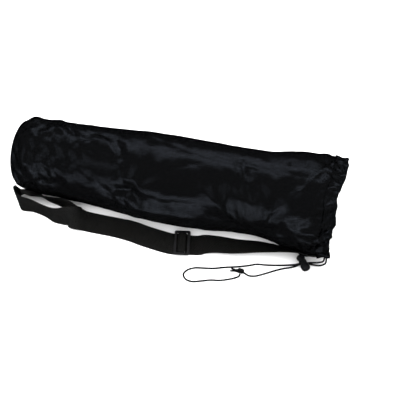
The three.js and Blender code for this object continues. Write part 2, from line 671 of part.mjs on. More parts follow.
function lockBore() {
  const width = cordDiameter + 2 * boreClearance;
  const height = 2 * cordDiameter + 3 * boreClearance;
  const shape = roundedRectangle(new THREE.Shape(), width, height, width * roundEnd);
  const length = 4 * barrelRadius;
  const geometry = extrude(shape, length).translate(0, 0, -length / 2);
  const way = new THREE.Vector3(Math.cos(radians(BORE_TURN)), Math.sin(radians(BORE_TURN)), 0);
  const across = new THREE.Vector3().crossVectors(up, way);
  const place = new THREE.Matrix4().makeBasis(across, up, way).setPosition(...LOCK_CENTRE);
  return geometry.applyMatrix4(place);
}
const barrel = toSolid(lockPiece(BARREL_PROFILE, barrelLength, barrelRadius, 0));
addPart('cord_lock_barrel', fromSolid(barrel.subtract(toSolid(lockBore()))), lockPlastic);
const button = lockPiece(BUTTON_PROFILE, buttonLength, buttonRadius, barrelLength + seamClearance);
addPart('cord_lock_button', button, lockPlastic);

// The knot that joins the cord's ends, with two short tails lying on the surface
function cordKnot() {
  const middle = new THREE.Vector3(...KNOT_CENTRE);
  const lump = new THREE.SphereGeometry(1, 12, 8).scale(knotLength / 2, knotWidth / 2, knotWidth / 2);
  let solid = toSolid(lump.translate(...KNOT_CENTRE));
  for (const side of [-1, 1]) {
    const end = middle.clone().add(new THREE.Vector3(-knotLength / 2 - tailLength, side * tailSpread, 0));
    end.setZ(cordDiameter / 2);
    const length = end.distanceTo(middle);
    const tail = new THREE.CylinderGeometry(cordDiameter / 2, cordDiameter / 2, length, cordSides);
    tail.translate(0, length / 2, 0);
    const turn = new THREE.Quaternion().setFromUnitVectors(
      new THREE.Vector3(0, 1, 0),
      end.clone().sub(middle).normalize(),
    );
    tail.applyQuaternion(turn).translate(...KNOT_CENTRE);
    solid = solid.add(toSolid(tail));
  }
  return fromSolid(solid);
}
addPart('cord_knot', cordKnot(), cordBlack);

export default bag;
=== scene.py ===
import math

import bmesh
import bpy
import numpy as np
from mathutils import Matrix, Vector


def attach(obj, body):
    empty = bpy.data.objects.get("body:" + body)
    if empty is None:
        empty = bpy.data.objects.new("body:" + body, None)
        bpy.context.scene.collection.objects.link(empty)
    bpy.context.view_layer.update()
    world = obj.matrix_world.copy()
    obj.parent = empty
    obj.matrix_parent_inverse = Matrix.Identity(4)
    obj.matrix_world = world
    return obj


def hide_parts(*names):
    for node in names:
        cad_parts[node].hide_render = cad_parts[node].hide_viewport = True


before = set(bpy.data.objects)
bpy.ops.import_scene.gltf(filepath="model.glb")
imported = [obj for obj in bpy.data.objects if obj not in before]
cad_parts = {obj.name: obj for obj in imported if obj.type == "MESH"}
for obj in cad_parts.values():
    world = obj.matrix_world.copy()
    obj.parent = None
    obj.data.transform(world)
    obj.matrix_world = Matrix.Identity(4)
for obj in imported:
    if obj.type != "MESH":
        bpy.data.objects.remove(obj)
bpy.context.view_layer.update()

# The camera looks down on the bag's long side from the front, a little from the right. Its place, turn
# and lens are those that put a bag of this size where the photo shows it.
view_azimuth = 13.435
view_elevation = 55.0
view_distance = 1.2
view_centre = Vector((0.03886, 0.01182, 0.0))
photo_width = 400
focal_pixels = 682.77


def direction_of(azimuth, elevation):
    a, e = math.radians(azimuth), math.radians(elevation)
    return Vector((math.sin(a) * math.cos(e), -math.cos(a) * math.cos(e), math.sin(e)))


camera = bpy.data.objects.new("camera", bpy.data.cameras.new("camera"))
camera.data.sensor_width = 36.0
camera.data.lens = focal_pixels / photo_width * camera.data.sensor_width
camera.location = view_centre + direction_of(view_azimuth, view_elevation) * view_distance
camera.rotation_mode = "QUATERNION"
camera.rotation_quaternion = (view_centre - camera.location).to_track_quat("-Z", "Y")
bpy.context.scene.collection.objects.link(camera)
bpy.context.scene.camera = camera
bpy.context.scene.view_settings.view_transform = "Standard"


# The drawcord is one braided polyester cord, 3 mm thick. Both its ends come out of the channel at the
# mouth, run through the cord lock and lie on the surface in a long loop, where a knot joins them.
MM = 0.001
cord_diameter = 3.0
cord_sides = 14
cord_step = 1.2
cord_colour = (0.0036, 0.0036, 0.0038)
strand_pitch = 2.6
cord_loop_route = [
    (264.6, -71.2, 37.3), (264.6, -75.4, 34.6), (264.5, -76.6, 27.5), (263.4, -73.4, 18.0),
    (260.8, -70.6, 10.8), (256.0, -70.6, 7.6), (249.5, -72.9, 8.4), (242.7, -75.2, 9.2),
    (235.0, -78.0, 9.5), (227.3, -80.8, 9.2), (221.0, -82.4, 6.6), (213.0, -82.4, 2.2),
    (199.0, -86.0, 1.6), (175.0, -91.0, 1.6), (159.0, -93.5, 1.6), (148.0, -98.5, 1.6),
    (130.0, -105.0, 1.6), (110.0, -111.0, 1.6), (93.0, -117.0, 1.6), (76.0, -120.5, 1.6),
    (62.0, -123.5, 1.6), (51.0, -130.5, 1.6), (47.0, -139.0, 1.6), (52.0, -146.5, 1.6),
    (63.0, -149.0, 1.6), (78.0, -144.5, 1.6), (92.0, -139.5, 1.6), (107.0, -136.5, 1.6),
    (119.0, -132.0, 1.6), (130.0, -126.5, 1.6), (136.0, -121.5, 1.7), (137.0, -117.6, 2.2),
]
cord_return_route = [
    (142.3, -114.2, 2.7), (151.0, -117.0, 1.6), (161.0, -115.5, 1.6), (170.0, -111.0, 1.6),
    (180.0, -105.0, 1.6), (192.0, -97.5, 1.6), (205.0, -90.5, 1.6), (214.0, -87.0, 1.8),
    (221.0, -84.2, 3.6), (227.3, -80.8, 5.8), (235.0, -78.0, 6.1), (242.7, -75.2, 5.8),
    (249.5, -74.4, 4.4), (256.0, -73.6, 3.3), (262.0, -73.0, 4.6), (266.4, -73.0, 9.5),
    (268.6, -74.6, 17.5), (268.4, -72.8, 27.6), (267.2, -68.2, 32.4),
]


def places_between(points, rows, tension=None):
    """Places on a smooth line through points, at fractional rows: centripetal, unless tension is given."""
    points = np.asarray(points, float)
    ends = np.vstack([2 * points[0] - points[1], points, 2 * points[-1] - points[-2]])
    start = np.minimum(rows.astype(int), len(points) - 2)
    t = (rows - start)[:, None]
    a, b, c, d = (ends[start + k] for k in range(4))
    if tension is None:
        ab, bc, cd = (
            np.maximum(((q - p) ** 2).sum(1) ** 0.25, 1e-4)[:, None]
            for p, q in ((a, b), (b, c), (c, d))
        )
        leave = ((b - a) / ab - (c - a) / (ab + bc) + (c - b) / bc) * bc
        arrive = ((c - b) / bc - (d - b) / (bc + cd) + (d - c) / cd) * bc
    else:
        leave, arrive = tension * (c - a), tension * (d - b)
    there = t * t * (3 - 2 * t)
    return b * (1 - there) + c * there + leave * t * (1 - t) ** 2 - arrive * t * t * (1 - t)


def evenly(line, step):
    """The same line with its places an even step apart, and the length up to each."""
    length = np.concatenate([[0], np.cumsum(np.linalg.norm(np.diff(line, axis=0), axis=1))])
    count = max(2, round(length[-1] / step) + 1)
    at = np.linspace(0, length[-1], count)
    return np.stack([np.interp(at, length, line[:, k]) for k in range(3)], 1), at


def unit(vectors):
    return vectors / np.maximum(np.linalg.norm(vectors, axis=-1, keepdims=True), 1e-12)


def mesh_piece(name, places, faces, material, corner_map=None, smooth=True):
    """A mesh object from places in millimetres, with a map of its cloth in metres where one is given."""
    mesh = bpy.data.meshes.new(name)
    mesh.from_pydata((np.asarray(places) * MM).tolist(), [], [list(map(int, f)) for f in faces])
    mesh.polygons.foreach_set("use_smooth", np.full(len(mesh.polygons), smooth))
    if corner_map is not None:
        layer = mesh.uv_layers.new(name="cloth")
        layer.uv.foreach_set("vector", (np.asarray(corner_map, np.float32) * MM).ravel())
    mesh.materials.append(material)
    mesh.update()
    piece = bpy.data.objects.new(name, mesh)
    bpy.context.scene.collection.objects.link(piece)
    return piece


def grid_faces(rows, columns, closed):
    """Quads of a grid of places, with their corners on its map. The columns meet where it is closed."""
    across = columns if closed else columns - 1
    i, j = np.meshgrid(np.arange(rows - 1), np.arange(across), indexing="ij")
    i, j = i.ravel(), j.ravel()
    row = np.stack([i, i, i + 1, i + 1], 1)
    column = np.stack([j, j + 1, j + 1, j], 1)
    return row * columns + column % columns, row, column


def swept_tube(name, line, radius, sides, material, step):
    """A round tube along a line, closed at both ends, with its map along and round it."""
    line, along = evenly(line, step)
    way = unit(np.gradient(line, axis=0))
    side = np.zeros_like(way)
    side[0] = unit(np.cross(way[0], (0.3, 0.2, 1.0)))
    for i in range(1, len(way)):
        side[i] = unit(side[i - 1] - way[i] * (side[i - 1] @ way[i]))
    over = np.cross(way, side)
    turn = np.linspace(0, 2 * math.pi, sides, endpoint=False)
    ring = side[:, None] * np.cos(turn)[:, None] + over[:, None] * np.sin(turn)[:, None]
    places = line[:, None] + ring * radius
    faces, row, column = grid_faces(len(line), sides, closed=True)
    corner_map = np.stack([along[row], column * (2 * math.pi * radius / sides)], -1).reshape(-1, 2)
    ends = [list(range(sides))[::-1], [len(line) * sides - sides + k for k in range(sides)]]
    corner_map = np.vstack([corner_map, np.zeros((2 * sides, 2))])
    places = places.reshape(-1, 3)
    return mesh_piece(name, places, faces.tolist() + ends, material, corner_map), line


def put(tree, kind, *values, **settings):
    """A shader node whose inputs, in order, are linked where a socket is given and set where a value is."""
    node = tree.nodes.new(kind)
    for key, value in settings.items():
        setattr(node, key, value)
    for socket, value in zip(node.inputs, values):
        if isinstance(value, bpy.types.NodeSocket):
            tree.links.new(value, socket)
        elif value is not None:
            socket.default_value = value
    return node


def calculate(tree, operation, *values):
    return put(tree, "ShaderNodeMath", *values, operation=operation).outputs[0]


def effect_group(name, inputs, outputs):
    """An empty node group with the named number or vector sockets."""
    tree = bpy.data.node_groups.new(name, "ShaderNodeTree")
    for socket, kind in inputs:
        tree.interface.new_socket(socket, in_out="INPUT", socket_type=kind)
    for socket, kind in outputs:
        tree.interface.new_socket(socket, in_out="OUTPUT", socket_type=kind)
    return tree, tree.nodes.new("NodeGroupInput"), tree.nodes.new("NodeGroupOutput")


# Two families of strands that wind round in opposite senses and cross, as on a braid.
braid, braid_in, braid_out = effect_group(
    "braided strands",
    [("Map", "NodeSocketVector"), ("Along", "NodeSocketFloat"), ("Round", "NodeSocketFloat")],
    [("Height", "NodeSocketFloat")],
)
apart = put(braid, "ShaderNodeSeparateXYZ", braid_in.outputs["Map"])
along = calculate(braid, "MULTIPLY", apart.outputs[0], braid_in.outputs["Along"])
round_it = calculate(braid, "MULTIPLY", apart.outputs[1], braid_in.outputs["Round"])
left = calculate(braid, "SINE", calculate(braid, "ADD", along, round_it))
right = calculate(braid, "SINE", calculate(braid, "SUBTRACT", along, round_it))
braid.links.new(calculate(braid, "MULTIPLY", left, right), braid_out.inputs["Height"])


def finish_material(name, colour, roughness, specular=0.5):
    """A material with its Principled shader's plain values set, to which a section adds its own nodes."""
    material = bpy.data.materials.new(name)
    material.use_nodes = True
    shader = material.node_tree.nodes["Principled BSDF"]
    shader.inputs["Base Color"].default_value = (*colour, 1)
    shader.inputs["Roughness"].default_value = roughness
    shader.inputs["Specular IOR Level"].default_value = specular
    return material, material.node_tree, shader


def cloth_map(tree):
    return put(tree, "ShaderNodeUVMap", uv_map="cloth").outputs[0]


def raised(tree, shader, height, strength, distance):
    bump = put(tree, "ShaderNodeBump", strength, distance)
    tree.links.new(height, bump.inputs["Height"])
    tree.links.new(bump.outputs[0], shader.inputs["Normal"])


cord_material, tree, shader = finish_material("braided cord", cord_colour, 0.72, 0.35)
strands = put(tree, "ShaderNodeGroup", node_tree=braid)
tree.links.new(cloth_map(tree), strands.inputs["Map"])
strands.inputs["Along"].default_value = 2 * math.pi / (strand_pitch * MM)
strands.inputs["Round"].default_value = 8 / (cord_diameter * MM)
raised(tree, shader, strands.outputs[0], 0.8, 0.00025)

cord_pieces = {}
for name, route in (("cord_loop", cord_loop_route), ("cord_return", cord_return_route)):
    rows = np.linspace(0, len(route) - 1, 20 * len(route))
    line = places_between(route, rows)
    cord_pieces[name] = swept_tube(name, line, cord_diameter / 2, cord_sides, cord_material, cord_step)


# The knot ties the cord's two ends together: an overhand knot, pulled tight, with both ends left hanging
# out.
knot_centre = np.array([137.0, -112.7, 4.3])
knot_lobe = 2.45
knot_depth = 1.35
knot_stretch = 1.18
knot_rise = 1.9
knot_radius = 1.45
tail_radius = 1.4
tail_rest = 1.45  # millimetres from the surface to the middle of a tail that lies on it
tail_ends = [(119.6, -115.3, 1.5), (120.9, -110.4, 1.6)]


def knot_line():
    t = np.linspace(0, 2 * math.pi, 140)
    reach = knot_lobe + knot_depth * np.cos(3 * t)
    turns = [knot_stretch * reach * np.cos(2 * t), reach * np.sin(2 * t), knot_rise * np.sin(3 * t)]
    return knot_centre + np.stack(turns, 1)


knot, _ = swept_tube("cord_knot_turns", knot_line(), knot_radius, cord_sides, cord_material, 0.5)
for i, end in enumerate(tail_ends):
    side = -1 if i == 0 else 1
    bend = [knot_centre, knot_centre + (-4.5, 1.7 * side, -1.4), (127.5, -112.7 + 1.2 * side, 2.0), end]
    line = places_between(bend, np.linspace(0, 3, 60))
    line[:, 2] = np.maximum(line[:, 2], tail_rest)
    tail, _ = swept_tube(f"cord_tail_{i + 1}", line, tail_radius, cord_sides, cord_material, 0.6)
    tail.parent = knot


# The cord lock is a spring-loaded barrel toggle, moulded in black nylon. Both strands run through its
# slanted bore, and pressing the button into the barrel lets them slide.
lock_centre = np.array([235.0, -78.0, 7.7])
lock_turn = -56.0
lock_length = 30.0
lock_gap = 0.3
barrel_share = 0.61
barrel_radius = 7.4
button_radius = 6.9
bore_turn = 20.0
bore_width = 4.0
bore_height = 7.5
barrel_length = barrel_share * lock_length
button_length = lock_length - barrel_length - lock_gap
bore_along = 0.68 * barrel_length
barrel_profile = [
    (0.00, 0.00), (0.00, 0.38), (0.02, 0.55), (0.07, 0.78), (0.14, 0.91), (0.24, 0.985), (0.36, 1.00),
    (0.46, 0.985), (0.58, 0.92), (0.68, 0.872), (0.80, 0.85), (0.955, 0.85), (0.985, 0.835), (1.00, 0.80),
    (1.00, 0.00),
]
button_profile = [
    (0.00, 0.00), (0.00, 0.68), (0.02, 0.73), (0.10, 0.79), (0.25, 0.89), (0.40, 0.965), (0.52, 1.00),
    (0.64, 0.985), (0.76, 0.90), (0.86, 0.76), (0.94, 0.56), (0.985, 0.30), (1.00, 0.00),
]
lock_material, tree, shader = finish_material("moulded lock", (0.005, 0.005, 0.0056), 0.3, 0.5)
pitted = put(tree, "ShaderNodeTexNoise", noise_dimensions="3D")
tree.links.new(put(tree, "ShaderNodeTexCoord").outputs["Object"], pitted.inputs["Vector"])
pitted.inputs["Scale"].default_value = 900
raised(tree, shader, pitted.outputs[0], 0.25, 0.0002)
uneven = put(tree, "ShaderNodeMapRange", pitted.outputs[0], 0.3, 0.7, 0.26, 0.4)
tree.links.new(uneven.outputs[0], shader.inputs["Roughness"])


def turned_piece(name, profile, length, radius, start, material, sides=48):
    """A piece turned on the lock's axis, from a profile in shares of its length and radius."""
    ring = np.linspace(0, 2 * math.pi, sides, endpoint=False)
    places = []
    way = np.array([math.cos(math.radians(lock_turn)), math.sin(math.radians(lock_turn)), 0])
    across = np.array([-way[1], way[0], 0])
    inner = [row for row in profile if row[1] > 0]
    for share, reach in inner:
        around = np.cos(ring)[:, None] * across + np.sin(ring)[:, None] * np.array([0, 0, 1])
        places.append(lock_centre - way * (start - bore_along + share * length) + around * reach * radius)
    places = np.vstack(places)
    faces, _, _ = grid_faces(len(inner), sides, closed=True)
    first, last = (lock_centre - way * (start - bore_along + share * length) for share in (0.0, 1.0))
    places = np.vstack([places, first, last])
    count = len(inner) * sides
    caps = [(k, count, (k + 1) % sides) for k in range(sides)]
    caps += [(count - sides + k, count - sides + (k + 1) % sides, count + 1) for k in range(sides)]
    return mesh_piece(name, places, faces.tolist() + caps, material)


def facing_out(piece):
    """Turns every face of a closed piece outwards."""
    shape = bmesh.new()
    shape.from_mesh(piece.data)
    bmesh.ops.recalc_face_normals(shape, faces=shape.faces)
    shape.to_mesh(piece.data)
    shape.free()
    return piece


def applied(piece):
    """The piece with its modifiers made part of its mesh."""
    evaluated = piece.evaluated_get(bpy.context.evaluated_depsgraph_get())
    mesh = bpy.data.meshes.new_from_object(evaluated)
    piece.modifiers.clear()
    piece.data = mesh
    return piece


def cut_out(piece, block):
    """Cuts a block out of a piece, and takes the block away."""
    cut = piece.modifiers.new("cut", "BOOLEAN")
    cut.operation = "DIFFERENCE"
    cut.object = block
    applied(piece)
    bpy.data.objects.remove(block)


def soften_edges(piece, width, segments):
    """Lets a piece's sharp edges be rounded over a width in millimetres."""
    rounding = piece.modifiers.new("soft edges", "BEVEL")
    rounding.width = width * MM
    rounding.segments = segments
    rounding.limit_method = "ANGLE"
    rounding.angle_limit = math.radians(50)


def rounded_outline(width, height, corner, steps=6):
    """The corners of a rounded rectangle round the origin, in order."""
    points = []
    for quarter in range(4):
        turn = quarter * math.pi / 2
        x = (width / 2 - corner) * (1 if quarter in (0, 3) else -1)
        y = (height / 2 - corner) * (1 if quarter in (0, 1) else -1)
        for k in range(steps + 1):
            a = turn + k / steps * math.pi / 2
            points.append((x + corner * math.cos(a), y + corner * math.sin(a)))
    return points


def prism(name, outline, depth, material):
    """An outline raised to a closed block, from minus to plus half its depth."""
    count = len(outline)
    places = [(x, y, z) for z in (-depth / 2, depth / 2) for x, y in outline]
    faces = [[k, (k + 1) % count, count + (k + 1) % count, count + k] for k in range(count)]
    faces += [list(range(count))[::-1], list(range(count, 2 * count))]
    return mesh_piece(name, places, faces, material, smooth=False)


barrel = facing_out(turned_piece(
    "lock_barrel", barrel_profile, barrel_length, barrel_radius, 0, lock_material))
button = facing_out(turned_piece(
    "lock_button", button_profile, button_length, button_radius, barrel_length + lock_gap, lock_material))
bore = prism("bore", rounded_outline(bore_width, bore_height, bore_width * 0.48), 40, lock_material)
turn = math.radians(bore_turn)
across = Vector((-math.sin(turn), math.cos(turn), 0))
bore_frame = Matrix((across, Vector((0, 0, 1)), Vector((math.cos(turn), math.sin(turn), 0)))).transposed()
bore.data.transform(Matrix.Translation(Vector(lock_centre * MM)) @ bore_frame.to_4x4())
facing_out(bore)
cut_out(barrel, bore)
soften_edges(barrel, 0.35, 3)
applied(barrel)
barrel.data.polygons.foreach_set("use_smooth", np.full(len(barrel.data.polygons), True))

for piece, node, slot in (
    (cord_pieces["cord_loop"][0], "drawcord_loop", "cord"),
    (cord_pieces["cord_return"][0], "drawcord_return", "cord"),
    (knot, "cord_knot", "cord"),
    (barrel, "cord_lock_barrel", "lock_plastic"),
    (button, "cord_lock_button", "lock_plastic"),
):
    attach(piece, "root")
    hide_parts(node)


for name, exit_at, others in (
    ("cord_loop", np.array(cord_loop_route[0]) * MM, [knot, barrel, button]),
    ("cord_return", np.array(cord_return_route[-1]) * MM, []),
):
    piece, line = cord_pieces[name]
    if name == "cord_return":
        line = line[::-1]


# The body is a tube of thin, plain-woven black nylon, cut wide, so that it lies in flat facets and ridges.
# Its form comes from sections, main folds and slack cloth that is let settle.
body_length = 546.0
body_radius = 66.0
cloth_thickness = 0.9
rest_depth = 3.0
hem_width = 20.0
floor_gap = 0.15  # millimetres that the outer cloth keeps above the surface it lies on
mouth_draw_reach = 65.0
base_seam_reach = 16.0
sections = [
    # at (share of the length), half width, half height, sideways (shares of the radius)
    (0.000, 0.815, 0.880, 0.03), (0.015, 0.895, 0.925, 0.03), (0.040, 0.955, 0.955, 0.00),
    (0.115, 0.980, 0.960, -0.02), (0.220, 1.015, 0.978, -0.01), (0.335, 1.105, 0.993, -0.02),
    (0.460, 1.183, 1.012, -0.02), (0.610, 1.163, 1.008, 0.01), (0.685, 1.110, 0.993, 0.07),
    (0.755, 1.100, 1.005, 0.09), (0.810, 1.170, 1.030, 0.10), (0.865, 1.270, 1.060, 0.08),
    (0.935, 1.330, 1.075, 0.05), (1.000, 1.245, 1.045, 0.06),
]
mouth_edge = [
    # angle in degrees, how far the edge draws back as a share of the hem's width
    (0, 0.15), (55, 0.00), (84, 0.12), (112, 0.50), (140, 0.30), (160, 0.42), (180, 0.34),
    (207, 0.05), (235, 0.08), (270, 0.20), (320, 0.30), (360, 0.15),
]
main_folds = [
    # places as (share of the length, degrees round from +Y over the top)
    # rise and spread as shares of the radius
    (((0.05, 118), (0.09, 160), (0.17, 159)), 0.050, 0.10),
    (((0.11, 93), (0.14, 110), (0.18, 128)), 0.055, 0.11),
    (((0.08, 54), (0.14, 68), (0.24, 88)), 0.045, 0.13),
    (((0.03, 92), (0.10, 128)), -0.045, 0.12),
    (((0.21, 122), (0.30, 147)), 0.050, 0.12),
    (((0.26, 72), (0.31, 84)), 0.035, 0.16),
    (((0.385, 136), (0.295, 90)), -0.040, 0.11),
    (((0.385, 136), (0.345, 96)), 0.045, 0.10),
    (((0.385, 136), (0.43, 86)), -0.040, 0.12),
    (((0.39, 140), (0.55, 98)), 0.035, 0.14),
    (((0.46, 70), (0.54, 80), (0.70, 90)), 0.055, 0.15),
    (((0.39, 139), (0.49, 150), (0.65, 145)), 0.045, 0.12),
    (((0.42, 166), (0.58, 164)), -0.045, 0.13),
    (((0.61, 128), (0.67, 152), (0.74, 169)), -0.065, 0.12),
    (((0.63, 160), (0.74, 176)), 0.050, 0.10),
    (((0.69, 95), (0.67, 136)), -0.050, 0.11),
    (((0.70, 79), (0.78, 90), (0.92, 94)), 0.065, 0.13),
    (((0.73, 118), (0.76, 131)), 0.040, 0.09),
    (((0.955, 66), (0.90, 100), (0.85, 124), (0.81, 146)), -0.110, 0.17),
    (((0.95, 112), (0.88, 146)), 0.050, 0.24),
    (((0.93, 150), (0.84, 176)), -0.060, 0.13),
    (((0.80, 40), (0.97, 52)), 0.050, 0.20),
    (((0.06, 20), (0.20, 350)), 0.045, 0.14),
    (((0.20, 26), (0.40, 12)), -0.045, 0.15),
    (((0.45, 30), (0.62, 2)), 0.050, 0.14),
    (((0.66, 20), (0.86, 344)), -0.060, 0.15),
    (((0.84, 28), (0.95, 2)), 0.055, 0.15),
    (((0.30, 326), (0.46, 312)), -0.040, 0.13),
    (((0.10, 200), (0.30, 212)), -0.035, 0.13),
    (((0.62, 320), (0.78, 308)), -0.040, 0.12),
]
gather_count = 19
gather_depth = 2.2
gather_reach = 64.0
gather_wander = [(3, 40, 36), (5, 0, 30)]  # waves round the mouth, start and shift in degrees


def smooth_column(rows, column):
    """A smooth value between a table's rows, without overshoot."""
    key = np.array([row[0] for row in rows], float)
    value = np.array([row[column] for row in rows], float)
    steep = np.diff(value) / np.diff(key)
    both = np.where(steep[:-1] * steep[1:] > 0, steep[:-1] + steep[1:], np.inf)
    slope = np.concatenate([[0], 2 * steep[:-1] * steep[1:] / both, [0]])

    def value_at(place):
        i = np.clip(np.searchsorted(key, place, side="right") - 1, 0, len(key) - 2)
        span = key[i + 1] - key[i]
        t = np.clip((place - key[i]) / span, 0, 1)
        rest = 1 - t
        start = value[i] * (1 + 2 * t) * rest * rest
        end = value[i + 1] * t * t * (3 - 2 * t)
        return start + end + span * (slope[i] * t * rest * rest - slope[i + 1] * t * t * rest)

    return value_at


half_width_at, half_height_at, sideways_at = (smooth_column(sections, k) for k in (1, 2, 3))
edge_back_at = smooth_column(mouth_edge, 1)


def degrees_between(start, end):
    return (end - start + 540) % 360 - 180


def fold_rise(folds, share, angle):
    """How far folds lift the cloth, from each one's nearest place."""
    rise = np.zeros(np.broadcast(share, angle).shape)
    for path, height, spread in folds:
        nearest = np.full(rise.shape, 1e9)
        for (share_a, angle_a), (share_b, angle_b) in zip(path, path[1:]):
            x = (share_a - share) * body_length
            y = np.radians(degrees_between(angle, angle_a)) * body_radius
            way_x = (share_b - share_a) * body_length
            way_y = math.radians(degrees_between(angle_a, angle_b)) * body_radius
            along = np.clip(-(x * way_x + y * way_y) / (way_x**2 + way_y**2), 0, 1)
            nearest = np.minimum(nearest, np.hypot(x + along * way_x, y + along * way_y))
        rise += height * body_radius * np.exp(-((nearest / (spread * body_radius)) ** 2))
    return rise


def gather_rise(share, angle):
    closeness = np.clip(1 - (1 - share) * body_length / gather_reach, 0, 1)
    phase = gather_count * angle
    for waves, start, shift in gather_wander:
        phase = phase + shift * np.sin(np.radians(waves * angle + start))
    return gather_depth * closeness**2 * np.sin(np.radians(phase))


def tube_places(share, angle, rise=0.0):
    turn = np.radians(angle)
    width = half_width_at(share) * body_radius
    height = half_height_at(share) * body_radius
    outward_y, outward_z = np.cos(turn) / width, np.sin(turn) / height
    size = np.hypot(outward_y, outward_z)
    near_mouth = np.clip(1 - (1 - share) * body_length / mouth_draw_reach, 0, 1)
    x = (share - 0.5) * body_length - edge_back_at(angle) * hem_width * near_mouth
    y = sideways_at(share) * body_radius + width * np.cos(turn) + rise * outward_y / size
    z = height * (1 + np.sin(turn)) - rest_depth + rise * outward_z / size
    return np.stack(np.broadcast_arrays(x, y, np.maximum(z, 0)), -1)


def folded_places(share, angle):
    hold = np.clip(share * body_length / base_seam_reach, 0, 1)
    return tube_places(share, angle, (fold_rise(main_folds, share, angle) + gather_rise(share, angle)) * hold)


def surface_normals(places):
    """Normals of a closed grid of places, pointing out of the tube."""
    along = np.gradient(places, axis=0)
    round_it = np.roll(places, -1, axis=1) - np.roll(places, 1, axis=1)
    return unit(np.cross(along, round_it))


def finer(grid):
    """The grid with a place added between each two, on a smooth line through its neighbours."""
    before, after = np.roll(grid, 1, axis=1), np.roll(grid, -1, axis=1)
    beyond = np.roll(grid, -2, axis=1)
    between = (9 * (grid + after) - (before + beyond)) / 16
    wide = np.stack([grid, between], 2).reshape(grid.shape[0], -1, grid.shape[2])
    padded = np.concatenate([2 * wide[:1] - wide[1:2], wide, 2 * wide[-1:] - wide[-2:-1]])
    between = (9 * (padded[1:-2] + padded[2:-1]) - (padded[:-3] + padded[3:])) / 16
    result = np.empty((2 * wide.shape[0] - 1, *wide.shape[1:]))
    result[0::2], result[1::2] = wide, between
    return result


def smooth_noise(rng, rows, columns, along, round_it):
    """Seeded noise over a closed grid, with features about that many rows and columns wide, from -1 to 1."""
    noise = rng.standard_normal((rows, columns))
    down = np.fft.fftfreq(2 * rows)[:, None]
    over = np.fft.fftfreq(columns)[None]
    mirrored = np.concatenate([noise, noise[::-1]])
    keep = np.exp(-2 * (math.pi**2) * ((down * along) ** 2 + (over * round_it) ** 2) / 4)
    noise = np.fft.ifft2(np.fft.fft2(mirrored) * keep).real[:rows]
    return noise / np.abs(noise).max()


coarse_rows, coarse_columns = 56, 48
slack_seed = 7
calm_from, calm_until, calm_share = 0.52, 0.96, 0.7  # the smooth stretch before the mouth has less slack
cloth_rise_limit = 6.0
cloth_sink_limit = 5.0
bag_reach = 42.0  # millimetres over which the cloth keeps to its form on average


class Settling:
    """Cloth that is let settle on a form: its threads keep their length, so that what is too long folds."""

    def __init__(self, cloth, form, slacks, bend):
        self.cloth = cloth
        self.form = form
        self.out = surface_normals(form)
        self.rows, self.columns = form.shape[:2]
        self.links = []
        along, round_it, lean = slacks
        middle = (along + round_it) / 2
        for down, over, stiff, slack in (
            (1, 0, 1.0, along), (0, 1, 1.0, round_it),
            (1, 1, 0.6, middle + lean), (1, -1, 0.6, middle - lean),
            (2, 0, bend, along), (0, 2, bend, round_it),
        ):
            self.link(down, over, stiff, slack)
        self.free = np.ones((self.rows, self.columns))
        self.free[[0, -1]] = 0.0
        down = np.fft.fftfreq(2 * self.rows) * (self.rows - 1) * bag_reach / body_length
        over = np.fft.fftfreq(self.columns) * self.columns * bag_reach / (2 * math.pi * body_radius)
        self.smooth = np.exp(-2 * math.pi**2 * (down[:, None] ** 2 + over[None] ** 2) / 6)

    def link(self, down, over, stiff, slack):
        row, column = np.meshgrid(np.arange(self.rows - down), np.arange(self.columns), indexing="ij")
        turn = row // down if down else column // over
        flat = self.form.reshape(-1, 3)
        for part in (0, 1):
            chosen = turn % 2 == part
            a = (row * self.columns + column)[chosen]
            b = ((row + down) * self.columns + (column + over) % self.columns)[chosen]
            rest = np.linalg.norm(flat[b] - flat[a], axis=1) * (1 + slack.ravel()[a])
            self.links.append((a, b, rest, stiff))

    def average(self, height):
        both = np.concatenate([height, height[::-1]])
        return np.fft.ifft2(np.fft.fft2(both) * self.smooth).real[:self.rows]

    def run(self, rounds, pull, sag):
        flat = self.cloth.reshape(-1, 3).copy()
        before = flat.copy()
        free = self.free.reshape(-1)
        form, out = self.form.reshape(-1, 3), self.out.reshape(-1, 3)
        for _ in range(rounds):
            moved = (flat - before) * 0.92
            before = flat.copy()
            flat += moved * free[:, None]
            flat[:, 2] -= sag * free
            for a, b, rest, stiff in self.links:
                gap = flat[b] - flat[a]
                length = np.sqrt(np.einsum("ij,ij->i", gap, gap))
                share_a, share_b = free[a], free[b]
                gap *= (stiff * (length - rest) / (length * np.maximum(share_a + share_b, 1e-6)))[:, None]
                flat[a] += gap * share_a[:, None]
                flat[b] -= gap * share_b[:, None]
            height = np.einsum("ij,ij->i", flat - form, out)
            wanted = height - pull * self.average(height.reshape(self.rows, -1)).ravel()
            wanted = np.clip(wanted, -cloth_sink_limit, cloth_rise_limit)
            flat += ((wanted - height) * free)[:, None] * out
            flat[:, 2] = np.maximum(flat[:, 2], floor_gap)
        self.cloth = flat.reshape(self.rows, self.columns, 3)
        return self.cloth


